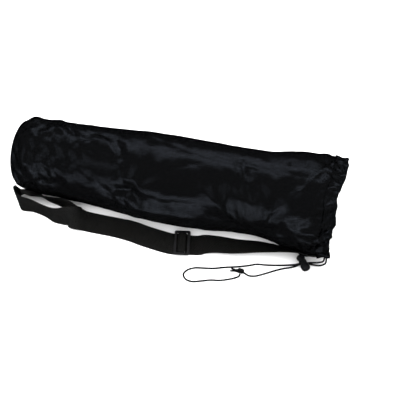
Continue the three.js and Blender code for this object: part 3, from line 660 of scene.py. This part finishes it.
def settled_cloth():
    """The tube's places on a closed grid, with the form that its slack cloth settles into."""
    rng = np.random.default_rng(slack_seed)
    rows, columns = coarse_rows, coarse_columns
    patches = smooth_noise(rng, rows, columns, 9, 8)
    lean = smooth_noise(rng, rows, columns, 12, 10)
    push = smooth_noise(rng, rows, columns, 2.6, 2.0)
    cloth = None
    for rounds, pull, sag, bend in ((300, 0.5, 0.02, 0.10), (200, 0.5, 0.01, 0.10), (160, 0.5, 0.004, 0.12)):
        share = np.linspace(0, 1, rows)[:, None]
        angle = np.arange(columns)[None] * 360 / columns
        form = folded_places(share, angle)
        near_mouth = np.clip(1 - (1 - share) * body_length / 80, 0, 1)
        near_base = np.clip(1 - share * body_length / 60, 0, 1)
        inside = np.clip((share - calm_from) / 0.14, 0, 1) * np.clip((calm_until - share) / 0.08, 0, 1)
        calm = 1 - calm_share * inside
        slack_round = (0.030 + 0.022 * patches) * calm + 0.05 * near_mouth**2 + 0.02 * near_base
        slack_along = (0.006 + 0.006 * patches) * calm * np.clip(1.3 - share, 0, 1)
        if cloth is None:
            cloth = form + surface_normals(form) * push[:, :, None] * 3.0
        else:
            cloth = finer(cloth)
        cloth[[0, -1]] = form[[0, -1]]
        cloth = Settling(cloth, form, (slack_along, slack_round, 0.035 * lean), bend).run(rounds, pull, sag)
        if rows < 4 * coarse_rows - 3:
            rows, columns = 2 * rows - 1, 2 * columns
            patches, lean = (finer(noise[:, :, None])[:, :, 0] for noise in (patches, lean))
    return cloth


cloth = settled_cloth()
rows, columns = cloth.shape[:2]

# Creases stand out sharply in the settled cloth. The main ones are listed one by one, and short ones lie
# scattered between them, most of them where the cloth is crushed: at the base, at the star and behind the
# hem.
sharp_folds = [
    # places as before; height in millimetres; how far it fades to its left and right, in millimetres
    (((0.110, 93), (0.141, 110), (0.176, 128)), 2.6, 7, 12),
    (((0.082, 126), (0.093, 142), (0.104, 160), (0.136, 165), (0.168, 159)), 2.2, 7, 7),
    (((0.110, 162), (0.141, 140), (0.174, 155)), 1.8, 7, 6),
    (((0.118, 142), (0.150, 158)), 1.5, 6, 6),
    (((0.209, 126), (0.247, 136), (0.286, 142), (0.302, 148)), 2.6, 9, 14),
    (((0.022, 115), (0.053, 136)), -1.8, 8, 8),
    (((0.050, 90), (0.075, 112), (0.080, 130)), -1.6, 8, 10),
    (((0.084, 54), (0.134, 66), (0.187, 82), (0.234, 90)), 2.2, 12, 8),
    (((0.245, 75), (0.304, 82)), 2.0, 12, 8),
    (((0.387, 136), (0.293, 88)), -2.4, 7, 12),
    (((0.387, 136), (0.333, 92)), 2.2, 6, 9),
    (((0.387, 136), (0.359, 115)), -1.8, 6, 6),
    (((0.387, 136), (0.425, 86)), -2.2, 8, 8),
    (((0.387, 138), (0.473, 112), (0.551, 97)), 2.0, 12, 9),
    (((0.387, 138), (0.330, 152)), 1.9, 7, 8),
    (((0.387, 138), (0.372, 160)), 1.7, 5, 7),
    (((0.387, 138), (0.420, 160)), 1.9, 7, 6),
    (((0.350, 146), (0.420, 152)), 1.4, 5, 7),
    (((0.462, 70), (0.542, 79), (0.619, 84), (0.694, 89)), 3.2, 18, 12),
    (((0.394, 140), (0.489, 150), (0.575, 144), (0.648, 147)), 2.4, 12, 18),
    (((0.420, 166), (0.580, 164)), -2.6, 10, 10),
    (((0.610, 127), (0.670, 151), (0.738, 168)), -3.0, 9, 12),
    (((0.632, 158), (0.681, 165), (0.729, 174)), 2.4, 6, 9),
    (((0.692, 93), (0.683, 115), (0.670, 137)), -2.4, 14, 9),
    (((0.696, 88), (0.725, 106)), 1.8, 6, 8),
    (((0.702, 79), (0.775, 88), (0.870, 95), (0.925, 93)), 3.6, 16, 14),
    (((0.725, 117), (0.751, 131)), 1.7, 5, 6),
    (((0.753, 115), (0.778, 121)), 1.5, 5, 5),
    (((0.958, 66), (0.899, 101), (0.853, 124), (0.811, 145)), -5.2, 10, 13),
    (((0.815, 150), (0.885, 127), (0.921, 115)), 2.8, 22, 8),
    (((0.949, 130), (0.880, 150)), 1.4, 16, 14),
    (((0.930, 152), (0.840, 176)), -2.6, 9, 12),
    (((0.800, 40), (0.970, 52)), 2.4, 14, 14),
    (((0.060, 20), (0.200, 350)), 2.4, 10, 10),
    (((0.200, 26), (0.400, 12)), -2.4, 10, 12),
    (((0.450, 30), (0.620, 2)), 2.6, 12, 10),
    (((0.660, 20), (0.860, 344)), -3.0, 11, 13),
    (((0.840, 28), (0.950, 2)), 2.6, 10, 12),
    (((0.300, 326), (0.460, 312)), -2.2, 10, 10),
    (((0.100, 200), (0.300, 212)), -1.8, 9, 9),
    (((0.620, 320), (0.780, 308)), -2.2, 9, 9),
]
crease_seed = 23
crease_count = 280
crease_round = 0.9  # millimetres by which a crease's edge is rounded
crease_fade = 1.4  # how fast a crease falls off on its sides
sharp_gain = 1.6  # how much the main creases stand out, over the heights in their table


def crease_height(share, angle, path, height, left, right):
    """A sharp-edged fold along a path, which fades over a different reach on each side."""
    nearest = np.full(np.broadcast(share, angle).shape, 1e9)
    reach = np.ones(nearest.shape)
    for (share_a, angle_a), (share_b, angle_b) in zip(path, path[1:]):
        x = (share - share_a) * body_length
        y = np.radians(degrees_between(angle_a, angle)) * body_radius
        way_x = (share_b - share_a) * body_length
        way_y = math.radians(degrees_between(angle_a, angle_b)) * body_radius
        along = np.clip((x * way_x + y * way_y) / (way_x**2 + way_y**2), 0, 1)
        apart = np.hypot(x - along * way_x, y - along * way_y)
        side = np.where(way_x * y - way_y * x > 0, left, right)
        reach = np.where(apart < nearest, side, reach)
        nearest = np.minimum(nearest, apart)
    soft = np.sqrt(nearest**2 + crease_round**2) - crease_round
    return height * np.maximum(1 - soft / (2 * reach), 0) ** crease_fade


def scattered_creases(rng):
    """Short creases in seeded places, longer in the middle, short and steep where the cloth is crushed."""
    rows = []
    while len(rows) < crease_count:
        share, angle = rng.random() * 0.95 + 0.02, rng.random() * 360
        crushed = max(
            math.exp(-((share - 0.1) / 0.09) ** 2),
            math.exp(-(((share - 0.385) / 0.05) ** 2) - (degrees_between(angle, 140) / 22) ** 2),
            math.exp(-((share - 0.95) / 0.05) ** 2),
        )
        if rng.random() > 0.25 + 0.75 * crushed:
            continue
        lean = rng.normal(0.0, 0.35) if share > 0.88 else rng.choice((-1, 1)) * rng.normal(0.75, 0.35)
        length = (14 + 26 * rng.random()) * (1.5 - 0.7 * crushed)
        reach_x = math.cos(lean) * length / body_length / 2
        reach_a = math.degrees(math.sin(lean) * length / body_radius) / 2
        height = rng.choice((-1, 1)) * (0.5 + 1.0 * rng.random()) * (0.6 + 0.9 * crushed)
        path = ((share - reach_x, angle - reach_a), (share + reach_x, angle + reach_a))
        rows.append((path, height, 2.5 + 5 * rng.random(), 2.5 + 5 * rng.random()))
    return rows


def creased(cloth):
    share = np.linspace(0, 1, cloth.shape[0])[:, None]
    angle = np.arange(cloth.shape[1])[None] * 360 / cloth.shape[1]
    rng = np.random.default_rng(crease_seed)
    rise = sharp_gain * sum(crease_height(share, angle, *row) for row in sharp_folds)
    rise += sum(crease_height(share, angle, *row) for row in scattered_creases(rng))
    held = np.clip(share * body_length / base_seam_reach, 0, 1)
    held = held * np.clip((1 - share) * body_length / hem_width, 0.15, 1)
    result = cloth + surface_normals(cloth) * (rise * held)[:, :, None]
    result[:, :, 2] = np.maximum(result[:, :, 2], floor_gap)
    return result


cloth = creased(cloth)

# A plain weave of fine threads, seen as a faint grain, and the small creases of thin, crisp cloth.
weave, weave_in, weave_out = effect_group(
    "plain weave", [("Map", "NodeSocketVector"), ("Threads", "NodeSocketFloat")],
    [("Height", "NodeSocketFloat")])
apart = put(weave, "ShaderNodeSeparateXYZ", weave_in.outputs["Map"])
over, under = (
    calculate(weave, "SINE", calculate(weave, "MULTIPLY", apart.outputs[k], weave_in.outputs["Threads"]))
    for k in (0, 1)
)
weave.links.new(calculate(weave, "MULTIPLY", over, under), weave_out.inputs["Height"])

creases, creases_in, creases_out = effect_group(
    "fine creases", [("Place", "NodeSocketVector"), ("Scale", "NodeSocketFloat")],
    [("Height", "NodeSocketFloat"), ("Patches", "NodeSocketFloat")])
stretched = put(creases, "ShaderNodeMapping", creases_in.outputs["Place"])
stretched.inputs["Rotation"].default_value = (0.0, 0.0, 0.35)
stretched.inputs["Scale"].default_value = (0.45, 1.0, 1.0)
ridges = put(creases, "ShaderNodeTexNoise", stretched.outputs[0],
             noise_type="RIDGED_MULTIFRACTAL", normalize=False)
creases.links.new(creases_in.outputs["Scale"], ridges.inputs["Scale"])
ridges.inputs["Detail"].default_value = 2.5
ridges.inputs["Roughness"].default_value = 0.45
ridges.inputs["Distortion"].default_value = 0.35
spots = put(creases, "ShaderNodeTexNoise", creases_in.outputs["Place"])
spots.inputs["Scale"].default_value = 14
spots.inputs["Detail"].default_value = 3
patchy = calculate(creases, "MULTIPLY", ridges.outputs[0], spots.outputs[0])
creases.links.new(patchy, creases_out.inputs["Height"])
creases.links.new(spots.outputs[0], creases_out.inputs["Patches"])

nylon_threads = 2 * math.pi / 0.00055
nylon_material, tree, shader = finish_material("black nylon", (0.0015, 0.0016, 0.0018), 0.36, 0.5)
threads = put(tree, "ShaderNodeGroup", node_tree=weave)
tree.links.new(cloth_map(tree), threads.inputs["Map"])
threads.inputs["Threads"].default_value = nylon_threads
wrinkled = put(tree, "ShaderNodeGroup", node_tree=creases)
tree.links.new(put(tree, "ShaderNodeTexCoord").outputs["Object"], wrinkled.inputs["Place"])
wrinkled.inputs["Scale"].default_value = 42
fine = calculate(tree, "MULTIPLY", threads.outputs[0], 0.05)
coarse = calculate(tree, "MULTIPLY", wrinkled.outputs[0], 0.8)
raised(tree, shader, calculate(tree, "ADD", coarse, fine), 0.35, 0.0012)
worn = put(tree, "ShaderNodeMapRange", wrinkled.outputs["Patches"], 0.3, 0.7, 0.14, 0.21)
tree.links.new(worn.outputs[0], shader.inputs["Roughness"])


def cloth_lengths(grid):
    """Lengths along and round a closed grid of places, with the first column again as the last."""
    closed = np.concatenate([grid, grid[:, :1]], 1)
    along = np.zeros(closed.shape[:2])
    along[1:] = np.cumsum(np.linalg.norm(np.diff(closed, axis=0), axis=2), 0)
    round_it = np.zeros(closed.shape[:2])
    round_it[:, 1:] = np.cumsum(np.linalg.norm(np.diff(closed, axis=1), axis=2), 1)
    return along.mean(1)[:, None] + 0 * along, round_it


def cloth_piece(name, grid, material, thickness):
    """A closed band of cloth from a grid of places, with its thickness and its map."""
    rows, columns = grid.shape[:2]
    faces, row, column = grid_faces(rows, columns, closed=True)
    along, round_it = cloth_lengths(grid)
    corner_map = np.stack([along[row, column], round_it[row, column]], -1).reshape(-1, 2)
    piece = mesh_piece(name, grid.reshape(-1, 3), faces.tolist(), material, corner_map)
    if thickness:
        wall = piece.modifiers.new("thickness", "SOLIDIFY")
        wall.thickness = thickness * MM
        wall.offset = -1.0
    return piece


hem_rows = 8
body_rows = rows - hem_rows
body = cloth_piece("bag_cloth", cloth[:body_rows], nylon_material, cloth_thickness)
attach(body, "root")
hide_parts("bag_body")

# The hem is the tube's own edge, folded in and sewn down as a channel for the drawcord. Drawn up, it is
# packed with small puckers that run out into the cloth behind its stitching.
pucker_waves = [(31, 0.3, 0.50), (47, 1.9, 0.45), (73, 0.7, 0.28)]  # count, start, height in millimetres
hem_fullness = 0.9
hem_wall = 2.2
edge_steps = 5


def hem_places():
    outer = finer(cloth[body_rows - 5:])[7:]
    count = outer.shape[1]
    turn = np.arange(count) * 2 * math.pi / count
    wander = 0.9 * np.sin(3 * turn + 0.8) + 0.6 * np.sin(7 * turn)
    pucker = sum(
        height * np.sin(waves * turn + start + 2.2 * wander) for waves, start, height in pucker_waves)
    pucker *= 1 + 0.35 * np.sin(2 * turn + 1) + 0.25 * np.sin(9 * turn + 2)
    out = surface_normals(outer)
    t = np.linspace(0, 1, len(outer))[:, None, None]
    lift = 0.35 * (1 - t) + hem_fullness * np.sin(math.pi * t)
    lift = lift + pucker[None, :, None] * (0.08 + 0.92 * t**0.7)
    outer = outer + out * lift
    outer[:, :, 0] += (t * 0.3 * np.sin(23 * turn + 3 * wander)[None, :, None])[:, :, 0]
    out = surface_normals(outer)
    forward = unit(outer[-1] - outer[-2])
    rings = [outer]
    for k in range(1, edge_steps):
        a = math.pi * k / edge_steps
        middle = outer[-1] - out[-1] * hem_wall / 2
        place = middle + out[-1] * (math.cos(a) * hem_wall / 2) + forward * (math.sin(a) * hem_wall / 2)
        rings.append(place[None])
    rings.append((outer - out * hem_wall)[::-1])
    return np.concatenate(rings)


hem_grid = hem_places()
hem_grid[:, :, 2] = np.maximum(hem_grid[:, :, 2], 0.1)
hem = cloth_piece("hem_channel", hem_grid, nylon_material, 0.0)
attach(hem, "root")
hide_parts("mouth_hem")

# The base panel is a round of the same nylon, sewn to the tube's end with a seam that stands up as a thin
# ridge.
panel_bulge = 5.0
panel_rings = 26
seam_bead = 0.7


def base_places():
    rim = cloth[0]
    middle = rim.mean(0)
    turn = np.arange(len(rim)) * 2 * math.pi / len(rim)
    reach = np.linspace(1, 0.03, panel_rings)[:, None]
    grid = middle + (rim - middle)[None] * reach[:, :, None]
    ripple = 0.7 * np.sin(17 * turn + 1.2 * np.sin(3 * turn)) + 0.5 * np.sin(29 * turn + 0.5)
    sway = 1.1 * np.sin(2 * turn + 0.6) + 0.7 * np.sin(5 * turn)
    swell = panel_bulge * (1 - reach**2.6)
    near_seam = np.clip(1 - np.abs(reach - 0.86) / 0.14, 0, 1)
    swell = swell + ripple * near_seam + sway * np.sin(math.pi * reach) ** 2 * 0.8
    grid[:, :, 0] -= 0.4 + swell
    return grid


panel = cloth_piece("base_round", base_places()[::-1], nylon_material, cloth_thickness)
seam_line = np.vstack([cloth[0], cloth[0][:2]]) + (-0.3, 0, 0.0)
seam, _ = swept_tube("base_seam", seam_line, seam_bead, 8, nylon_material, 2.0)
seam.parent = panel
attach(panel, "root")
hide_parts("base_panel")

# The shoulder strap is one length of ribbed black webbing. It is sewn to the side seam near the mouth, runs
# over the slider, round through the keeper at the base and back, and its end is turned round the slider's
# bar and sewn.
webbing_width = 38.0
webbing_thickness = 1.6
layer_clearance = 0.35
strap_lift = 0.5
seam_clearance = 0.3
slider_length = 27.0
slider_thickness = 3.0
slider_bar = 4.5
slider_rail = 3.6
slot_side = 0.7
slider_at, slider_out, slider_turn = 0.557, 1.290, math.radians(11)
keeper_thickness = 1.2
keeper_clearance = 1.8
flank_step = 4.0
# Rows on the tube's flank: share of the length, degrees round the tube, side of the left edge, keeper's
# room. Rows off it: share of the length, distance out as a share of the radius, tilt in degrees, layers
# below.
seam_stretch = [
    ("flank", 0.958, 211, -1, 0), ("flank", 0.935, 211, -1, 0), ("flank", 0.908, 212, -1, 0),
    ("floor", 0.850, 0.955, 41, 0), ("floor", 0.795, 0.975, 31, 0), ("floor", 0.715, 1.075, 19, 0),
    ("floor", 0.660, 1.105, 11, 0), ("floor", 0.623, 1.150, 3, 0),
]
front_stretch = [
    ("floor", 0.440, 1.275, 0, 2), ("floor", 0.400, 1.220, 0, 2), ("floor", 0.374, 1.200, 0, 2),
    ("floor", 0.354, 1.188, 0, 1), ("floor", 0.342, 1.187, 0, 1), ("floor", 0.284, 1.190, 0, 1),
    ("floor", 0.240, 1.195, -3, 1.15), ("floor", 0.217, 1.275, -36, 1.6), ("floor", 0.196, 1.305, -62, 1.5),
    ("floor", 0.174, 1.345, -75, 0.4), ("floor", 0.145, 1.360, -83, 0), ("floor", 0.112, 1.285, -90, 0),
    ("floor", 0.068, 1.205, -88, 0), ("floor", 0.031, 1.195, -82, 0), ("floor", 0.019, 1.115, -86, 0),
    ("floor", 0.007, 1.010, -90, 0), ("floor", 0.000, 0.925, -89, 0), ("floor", 0.007, 0.825, -81, 0),
]
rear_stretch = [
    ("flank", 0.030, 216, 1, 1), ("flank", 0.050, 216, 1, 1), ("flank", 0.072, 216, 1, 1),
    ("floor", 0.100, 0.900, -68, 0), ("floor", 0.132, 0.930, -75, 0), ("floor", 0.152, 0.948, -81, 0),
    ("floor", 0.168, 0.985, -93, 0), ("floor", 0.182, 1.060, -113, 0), ("floor", 0.196, 1.145, -141, 0),
    ("floor", 0.212, 1.172, -165, 0), ("floor", 0.236, 1.185, -178, 0), ("floor", 0.284, 1.190, -180, 0),
    ("floor", 0.345, 1.185, -180, 0), ("floor", 0.400, 1.220, -180, 0), ("floor", 0.440, 1.275, -180, 0),
]
tail_stretch = [("floor", 0.440, 1.275, 0, 1), ("floor", 0.400, 1.220, 0, 1), ("floor", 0.380, 1.204, 0, 1)]
keeper_row = 1

layer = webbing_thickness + layer_clearance
slider_lift = 3 * layer + layer_clearance
slot_width = (slider_length - 3 * slider_bar) / 2
wrap_side = slider_bar / 2 + layer_clearance + webbing_thickness / 2
wrap_top = slider_lift + slider_thickness + layer_clearance + webbing_thickness / 2
over_side = wrap_side + layer + layer_clearance
over_top = wrap_top + layer + layer_clearance


def level_of(under):
    return webbing_thickness / 2 + under * layer


# Places across the slider: how far along from its middle towards the mouth, and how high, in millimetres.
over_slider = [
    (slider_length, level_of(0)),
    (0.62 * slider_length, level_of(0)),
    (0.44 * slider_length, level_of(1) - webbing_thickness / 2),
    (over_side + 0.25 * slot_width, level_of(2)),
    (over_side, slider_lift + slider_thickness / 2),
    (over_side - 0.2 * layer, over_top - layer),
    (over_side - 1.2 * layer, over_top - 0.15 * layer),
    (0, over_top),
    (1.2 * layer - over_side, over_top - 0.15 * layer),
    (0.2 * layer - over_side, over_top - layer),
    (-over_side, slider_lift + 0.5 * slider_thickness),
    (-over_side - 0.8 * layer, level_of(2) + 0.45 * layer),
    (-over_side - 2.6 * layer, level_of(2)),
    (-0.62 * slider_length, level_of(2)),
]
round_bar = [
    (-0.62 * slider_length, level_of(0)),
    (-0.2 * slider_length, level_of(0)),
    (0.5 * wrap_side, level_of(0) + 0.1 * layer),
    (wrap_side, level_of(1)),
    (wrap_side + 0.1 * layer, slider_lift),
    (wrap_side, slider_lift + 0.6 * slider_thickness),
    (wrap_side - 0.15 * layer, wrap_top - 0.35 * layer),
    (wrap_side - 0.7 * layer, wrap_top),
    (0, wrap_top + 0.1 * layer),
    (0.7 * layer - wrap_side, wrap_top),
    (0.15 * layer - wrap_side, wrap_top - 0.35 * layer),
    (-wrap_side, slider_lift + 0.6 * slider_thickness),
    (-wrap_side - 0.2 * layer, level_of(2)),
    (-wrap_side - 1.3 * layer, level_of(1) + 0.15 * layer),
    (-wrap_side - 3 * layer, level_of(1)),
    (-0.62 * slider_length, level_of(1)),
]
slider_way = np.array([math.cos(slider_turn), math.sin(slider_turn), 0])
slider_across = np.array([-slider_way[1], slider_way[0], 0])
slider_middle = np.array([(slider_at - 0.5) * body_length, -slider_out * body_radius, 0])
upwards = np.array([0.0, 0.0, 1.0])


def slider_places(rows):
    return [
        (slider_middle + slider_way * along + upwards * height, -slider_across) for along, height in rows]


def stretch_places(rows):
    """The strap's middle and its left edge's direction, or its tilt where the direction follows from the way."""
    places = []
    for kind, share, second, third, fourth in rows:
        if kind == "flank":
            middle = tube_places(share, second)
            edge = tube_places(share, second + flank_step) - tube_places(share, second - flank_step)
            edge = unit(edge * (0, 1, 1))
            outward = np.array([0, -edge[2], edge[1]])
            if outward[1] > 0:
                outward = -outward
            room = fourth * (keeper_thickness + keeper_clearance)
            away = seam_clearance + strap_lift + webbing_thickness / 2 + room
            places.append((middle + outward * away, edge * third))
        else:
            tilt = math.radians(third)
            standing = webbing_width / 2 * abs(math.sin(tilt))
            lying = webbing_thickness / 2 * abs(math.cos(tilt))
            height = standing + lying + fourth * layer
            places.append((np.array([(share - 0.5) * body_length, -second * body_radius, height]), tilt))
    return places


strap_places = (
    stretch_places(seam_stretch) + slider_places(over_slider) + stretch_places(front_stretch)
    + stretch_places(rear_stretch) + slider_places(round_bar) + stretch_places(tail_stretch)
)
strap_middles = np.array([middle for middle, _ in strap_places])
strap_edges = []
for i, (middle, edge) in enumerate(strap_places):
    if isinstance(edge, float):
        heading = strap_middles[min(i + 1, len(strap_middles) - 1)] - strap_middles[i - 1]
        left = np.cross(upwards, unit(heading * (1, 1, 0)))
        edge = left * math.cos(edge) + upwards * math.sin(edge)
    strap_edges.append(edge)
strap_edges = np.array(strap_edges)


def strap_frames(rows):
    """The strap's middles, ways, left edges and face normals at fractional table rows."""
    middles = places_between(strap_middles, rows)
    ways = unit(places_between(strap_middles, np.minimum(rows + 0.01, len(strap_middles) - 1))
                - places_between(strap_middles, np.maximum(rows - 0.01, 0)))
    edges = places_between(strap_edges, rows, tension=0.5)
    edges = unit(edges - ways * np.einsum("ij,ij->i", edges, ways)[:, None])
    return middles, ways, edges, np.cross(ways, edges)


# Heavy webbing: cords of weft that run across it, in columns that step by half a cord from one to the next.
ribs, ribs_in, ribs_out = effect_group(
    "webbing ribs",
    [("Map", "NodeSocketVector"), ("Pitch", "NodeSocketFloat"), ("Column", "NodeSocketFloat")],
    [("Height", "NodeSocketFloat")])
apart = put(ribs, "ShaderNodeSeparateXYZ", ribs_in.outputs["Map"])
column = calculate(ribs, "DIVIDE", apart.outputs[1], ribs_in.outputs["Column"])
step = calculate(ribs, "MULTIPLY", calculate(ribs, "FLOOR", column), math.pi)
pitches = calculate(ribs, "DIVIDE", apart.outputs[0], ribs_in.outputs["Pitch"])
turns = calculate(ribs, "MULTIPLY", pitches, 2 * math.pi)
cords = calculate(ribs, "SINE", calculate(ribs, "ADD", turns, step))
hollow = calculate(ribs, "ABSOLUTE", calculate(ribs, "SINE", calculate(ribs, "MULTIPLY", column, math.pi)))
full = calculate(ribs, "POWER", hollow, 0.35)
raised_cords = calculate(ribs, "MULTIPLY", calculate(ribs, "ADD", cords, 1.0), full)
ribs.links.new(raised_cords, ribs_out.inputs["Height"])

webbing_material, tree, shader = finish_material("ribbed webbing", (0.0062, 0.0062, 0.0055), 0.62, 0.5)
ribbed = put(tree, "ShaderNodeGroup", node_tree=ribs)
tree.links.new(cloth_map(tree), ribbed.inputs["Map"])
ribbed.inputs["Pitch"].default_value = 0.0026
ribbed.inputs["Column"].default_value = 0.0024
raised(tree, shader, ribbed.outputs[0], 1.0, 0.0007)

webbing_steps = 2.4
webbing_columns = 17


def strap_piece():
    rows = [0.0]
    for i in range(1, len(strap_middles)):
        steps = max(4, math.ceil(np.linalg.norm(strap_middles[i] - strap_middles[i - 1]) / webbing_steps))
        rows += [i - 1 + j / steps for j in range(1, steps + 1)]
    middles, ways, edges, faces_out = strap_frames(np.array(rows))
    across = np.linspace(1, -1, webbing_columns)
    thin = 0.5 * webbing_thickness * (1 - 0.55 * np.abs(across) ** 12)
    ring = np.concatenate([
        np.stack([across * webbing_width / 2, thin], 1),
        np.stack([across[::-1] * webbing_width / 2, -thin], 1),
    ])
    places = (middles[:, None] + edges[:, None] * ring[None, :, :1] + faces_out[:, None] * ring[None, :, 1:])
    places[:, :, 2] -= np.minimum(0, places[:, :, 2].min(1))[:, None]
    faces, row, column = grid_faces(len(rows), len(ring), closed=True)
    along = np.concatenate([[0], np.cumsum(np.linalg.norm(np.diff(middles, axis=0), axis=1))])
    place_across = np.append(ring[:, 0], ring[0, 0]) + webbing_width / 2
    corner_map = np.stack([along[row], place_across[column]], -1).reshape(-1, 2)
    count = len(ring)
    ends = [list(range(count))[::-1], [len(rows) * count - count + k for k in range(count)]]
    corner_map = np.vstack([corner_map, np.zeros((2 * count, 2))])
    places = places.reshape(-1, 3)
    return mesh_piece("strap_webbing", places, faces.tolist() + ends, webbing_material, corner_map)


strap = strap_piece()
facing_out(strap)
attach(strap, "root")
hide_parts("shoulder_strap")

# The keeper is a loop of narrower tape sewn into the base seam, which the strap runs through.
keeper_tape = 19.0
keeper_inside = (webbing_width + 2 * keeper_clearance, webbing_thickness + 2 * keeper_clearance)


def keeper_piece():
    row = len(seam_stretch) + len(over_slider) + len(front_stretch) + keeper_row
    (middle,), (way,), (edge,), (face,) = strap_frames(np.array([float(row)]))
    inside, outside = (
        np.array(rounded_outline(width + 2 * add, height + 2 * add, (height + 2 * add) * 0.46))
        for (width, height), add in ((keeper_inside, 0), (keeper_inside, keeper_thickness))
    )
    half, soft = keeper_tape / 2, keeper_thickness * 0.3
    section = [(1, -half + soft), (1, -half / 2), (1, 0), (1, half / 2), (1, half - soft), (0.5, half),
               (0, half - soft), (0, half / 2), (0, 0), (0, -half / 2), (0, -half + soft), (0.5, -half)]
    grid = np.array([
        [middle + edge * x + face * y + way * z for x, y, z in
         ((*(a + (b - a) * reach), z) for reach, z in section)]
        for a, b in zip(inside, outside)
    ])
    grid = np.concatenate([grid, grid[:1]])
    faces, rows, columns = grid_faces(grid.shape[0], grid.shape[1], closed=True)
    along = np.concatenate([[0], np.cumsum(np.linalg.norm(np.diff(grid[:, 2], axis=0), axis=1))])
    across = np.array([z for _, z in section] + [section[0][1]]) + half
    corner_map = np.stack([along[rows], across[columns]], -1).reshape(-1, 2)
    places = grid.reshape(-1, 3)
    return facing_out(mesh_piece("keeper_tape", places, faces.tolist(), webbing_material, corner_map))


keeper = keeper_piece()
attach(keeper, "root")
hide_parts("strap_keeper")

# The slider is a moulded plate with three bars, which the strap is threaded over to set its length.
slider_corner = 3.0
slot_corner = 0.8
slider_width = webbing_width + 2 * (slot_side + slider_rail)
slider_material, tree, shader = finish_material("moulded slider", (0.0085, 0.0085, 0.009), 0.42, 0.5)
grain = put(tree, "ShaderNodeTexNoise")
tree.links.new(put(tree, "ShaderNodeTexCoord").outputs["Object"], grain.inputs["Vector"])
grain.inputs["Scale"].default_value = 1400
raised(tree, shader, grain.outputs[0], 0.3, 0.0002)
plate = rounded_outline(slider_length, slider_width, slider_corner)
slider = prism("slider_plate", plate, slider_thickness, slider_material)
for side in (-1, 1):
    opening = rounded_outline(slot_width, webbing_width + 2 * slot_side, slot_corner, steps=3)
    slot = prism("slot", opening, 10, slider_material)
    slot.data.transform(Matrix.Translation((side * (slider_bar + slot_width) / 2 * MM, 0, 0)))
    cut_out(slider, slot)
soften_edges(slider, 0.7, 4)
slider.modifiers.new("even shading", "WEIGHTED_NORMAL")
slider.data.polygons.foreach_set("use_smooth", np.full(len(slider.data.polygons), True))
applied(slider)
slider.data.transform(
    Matrix.Translation(Vector(slider_middle * MM) + Vector((0, 0, (slider_lift + slider_thickness / 2) * MM)))
    @ Matrix.Rotation(slider_turn, 4, "Z"))
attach(slider, "root")
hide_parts("strap_slider")

# A plain white floor, a large soft light overhead, and four softboxes that the cloth's ridges reflect: a
# long one low in front, a long one high behind, and a small one on each side.
floor_mesh = bpy.data.meshes.new("floor")
floor_mesh.from_pydata([(-4, -4, 0), (4, -4, 0), (4, 4, 0), (-4, 4, 0)], [], [(0, 1, 2, 3)])
floor = bpy.data.objects.new("floor", floor_mesh)
bpy.context.scene.collection.objects.link(floor)
floor_material, _, shader = finish_material("white floor", (0.9, 0.9, 0.9), 0.9, 0.1)
floor_mesh.materials.append(floor_material)
floor.visible_glossy = False

world = bpy.data.worlds.new("studio")
world.use_nodes = True
world.node_tree.nodes["Background"].inputs["Color"].default_value = (1, 1, 1, 1)
world.node_tree.nodes["Background"].inputs["Strength"].default_value = 2.0
world.cycles_visibility.glossy = False
bpy.context.scene.world = world

for name, azimuth, elevation, away, size, power, glossy in (
    ("overhead", 0, 88, 1.7, (2.6, 2.2), 60, False),
    ("front_box", -8, 14, 1.8, (1.5, 0.20), 2.4, True),
    ("top_box", 190, 45, 1.8, (1.5, 0.16), 1.9, True),
    ("right_box", 55, 52, 1.8, (0.35, 0.35), 0.4, True),
    ("left_box", -65, 45, 1.8, (0.35, 0.35), 0.45, True),
):
    light = bpy.data.lights.new(name, "AREA")
    light.shape = "RECTANGLE"
    light.size, light.size_y = size
    light.energy = power
    lamp = bpy.data.objects.new(name, light)
    lamp.location = direction_of(azimuth, elevation) * away
    lamp.rotation_euler = (-lamp.location).to_track_quat("-Z", "Y").to_euler()
    lamp.visible_glossy = glossy
    light.color = (0.72, 0.82, 1.0) if glossy else (1, 1, 1)
    bpy.context.scene.collection.objects.link(lamp)
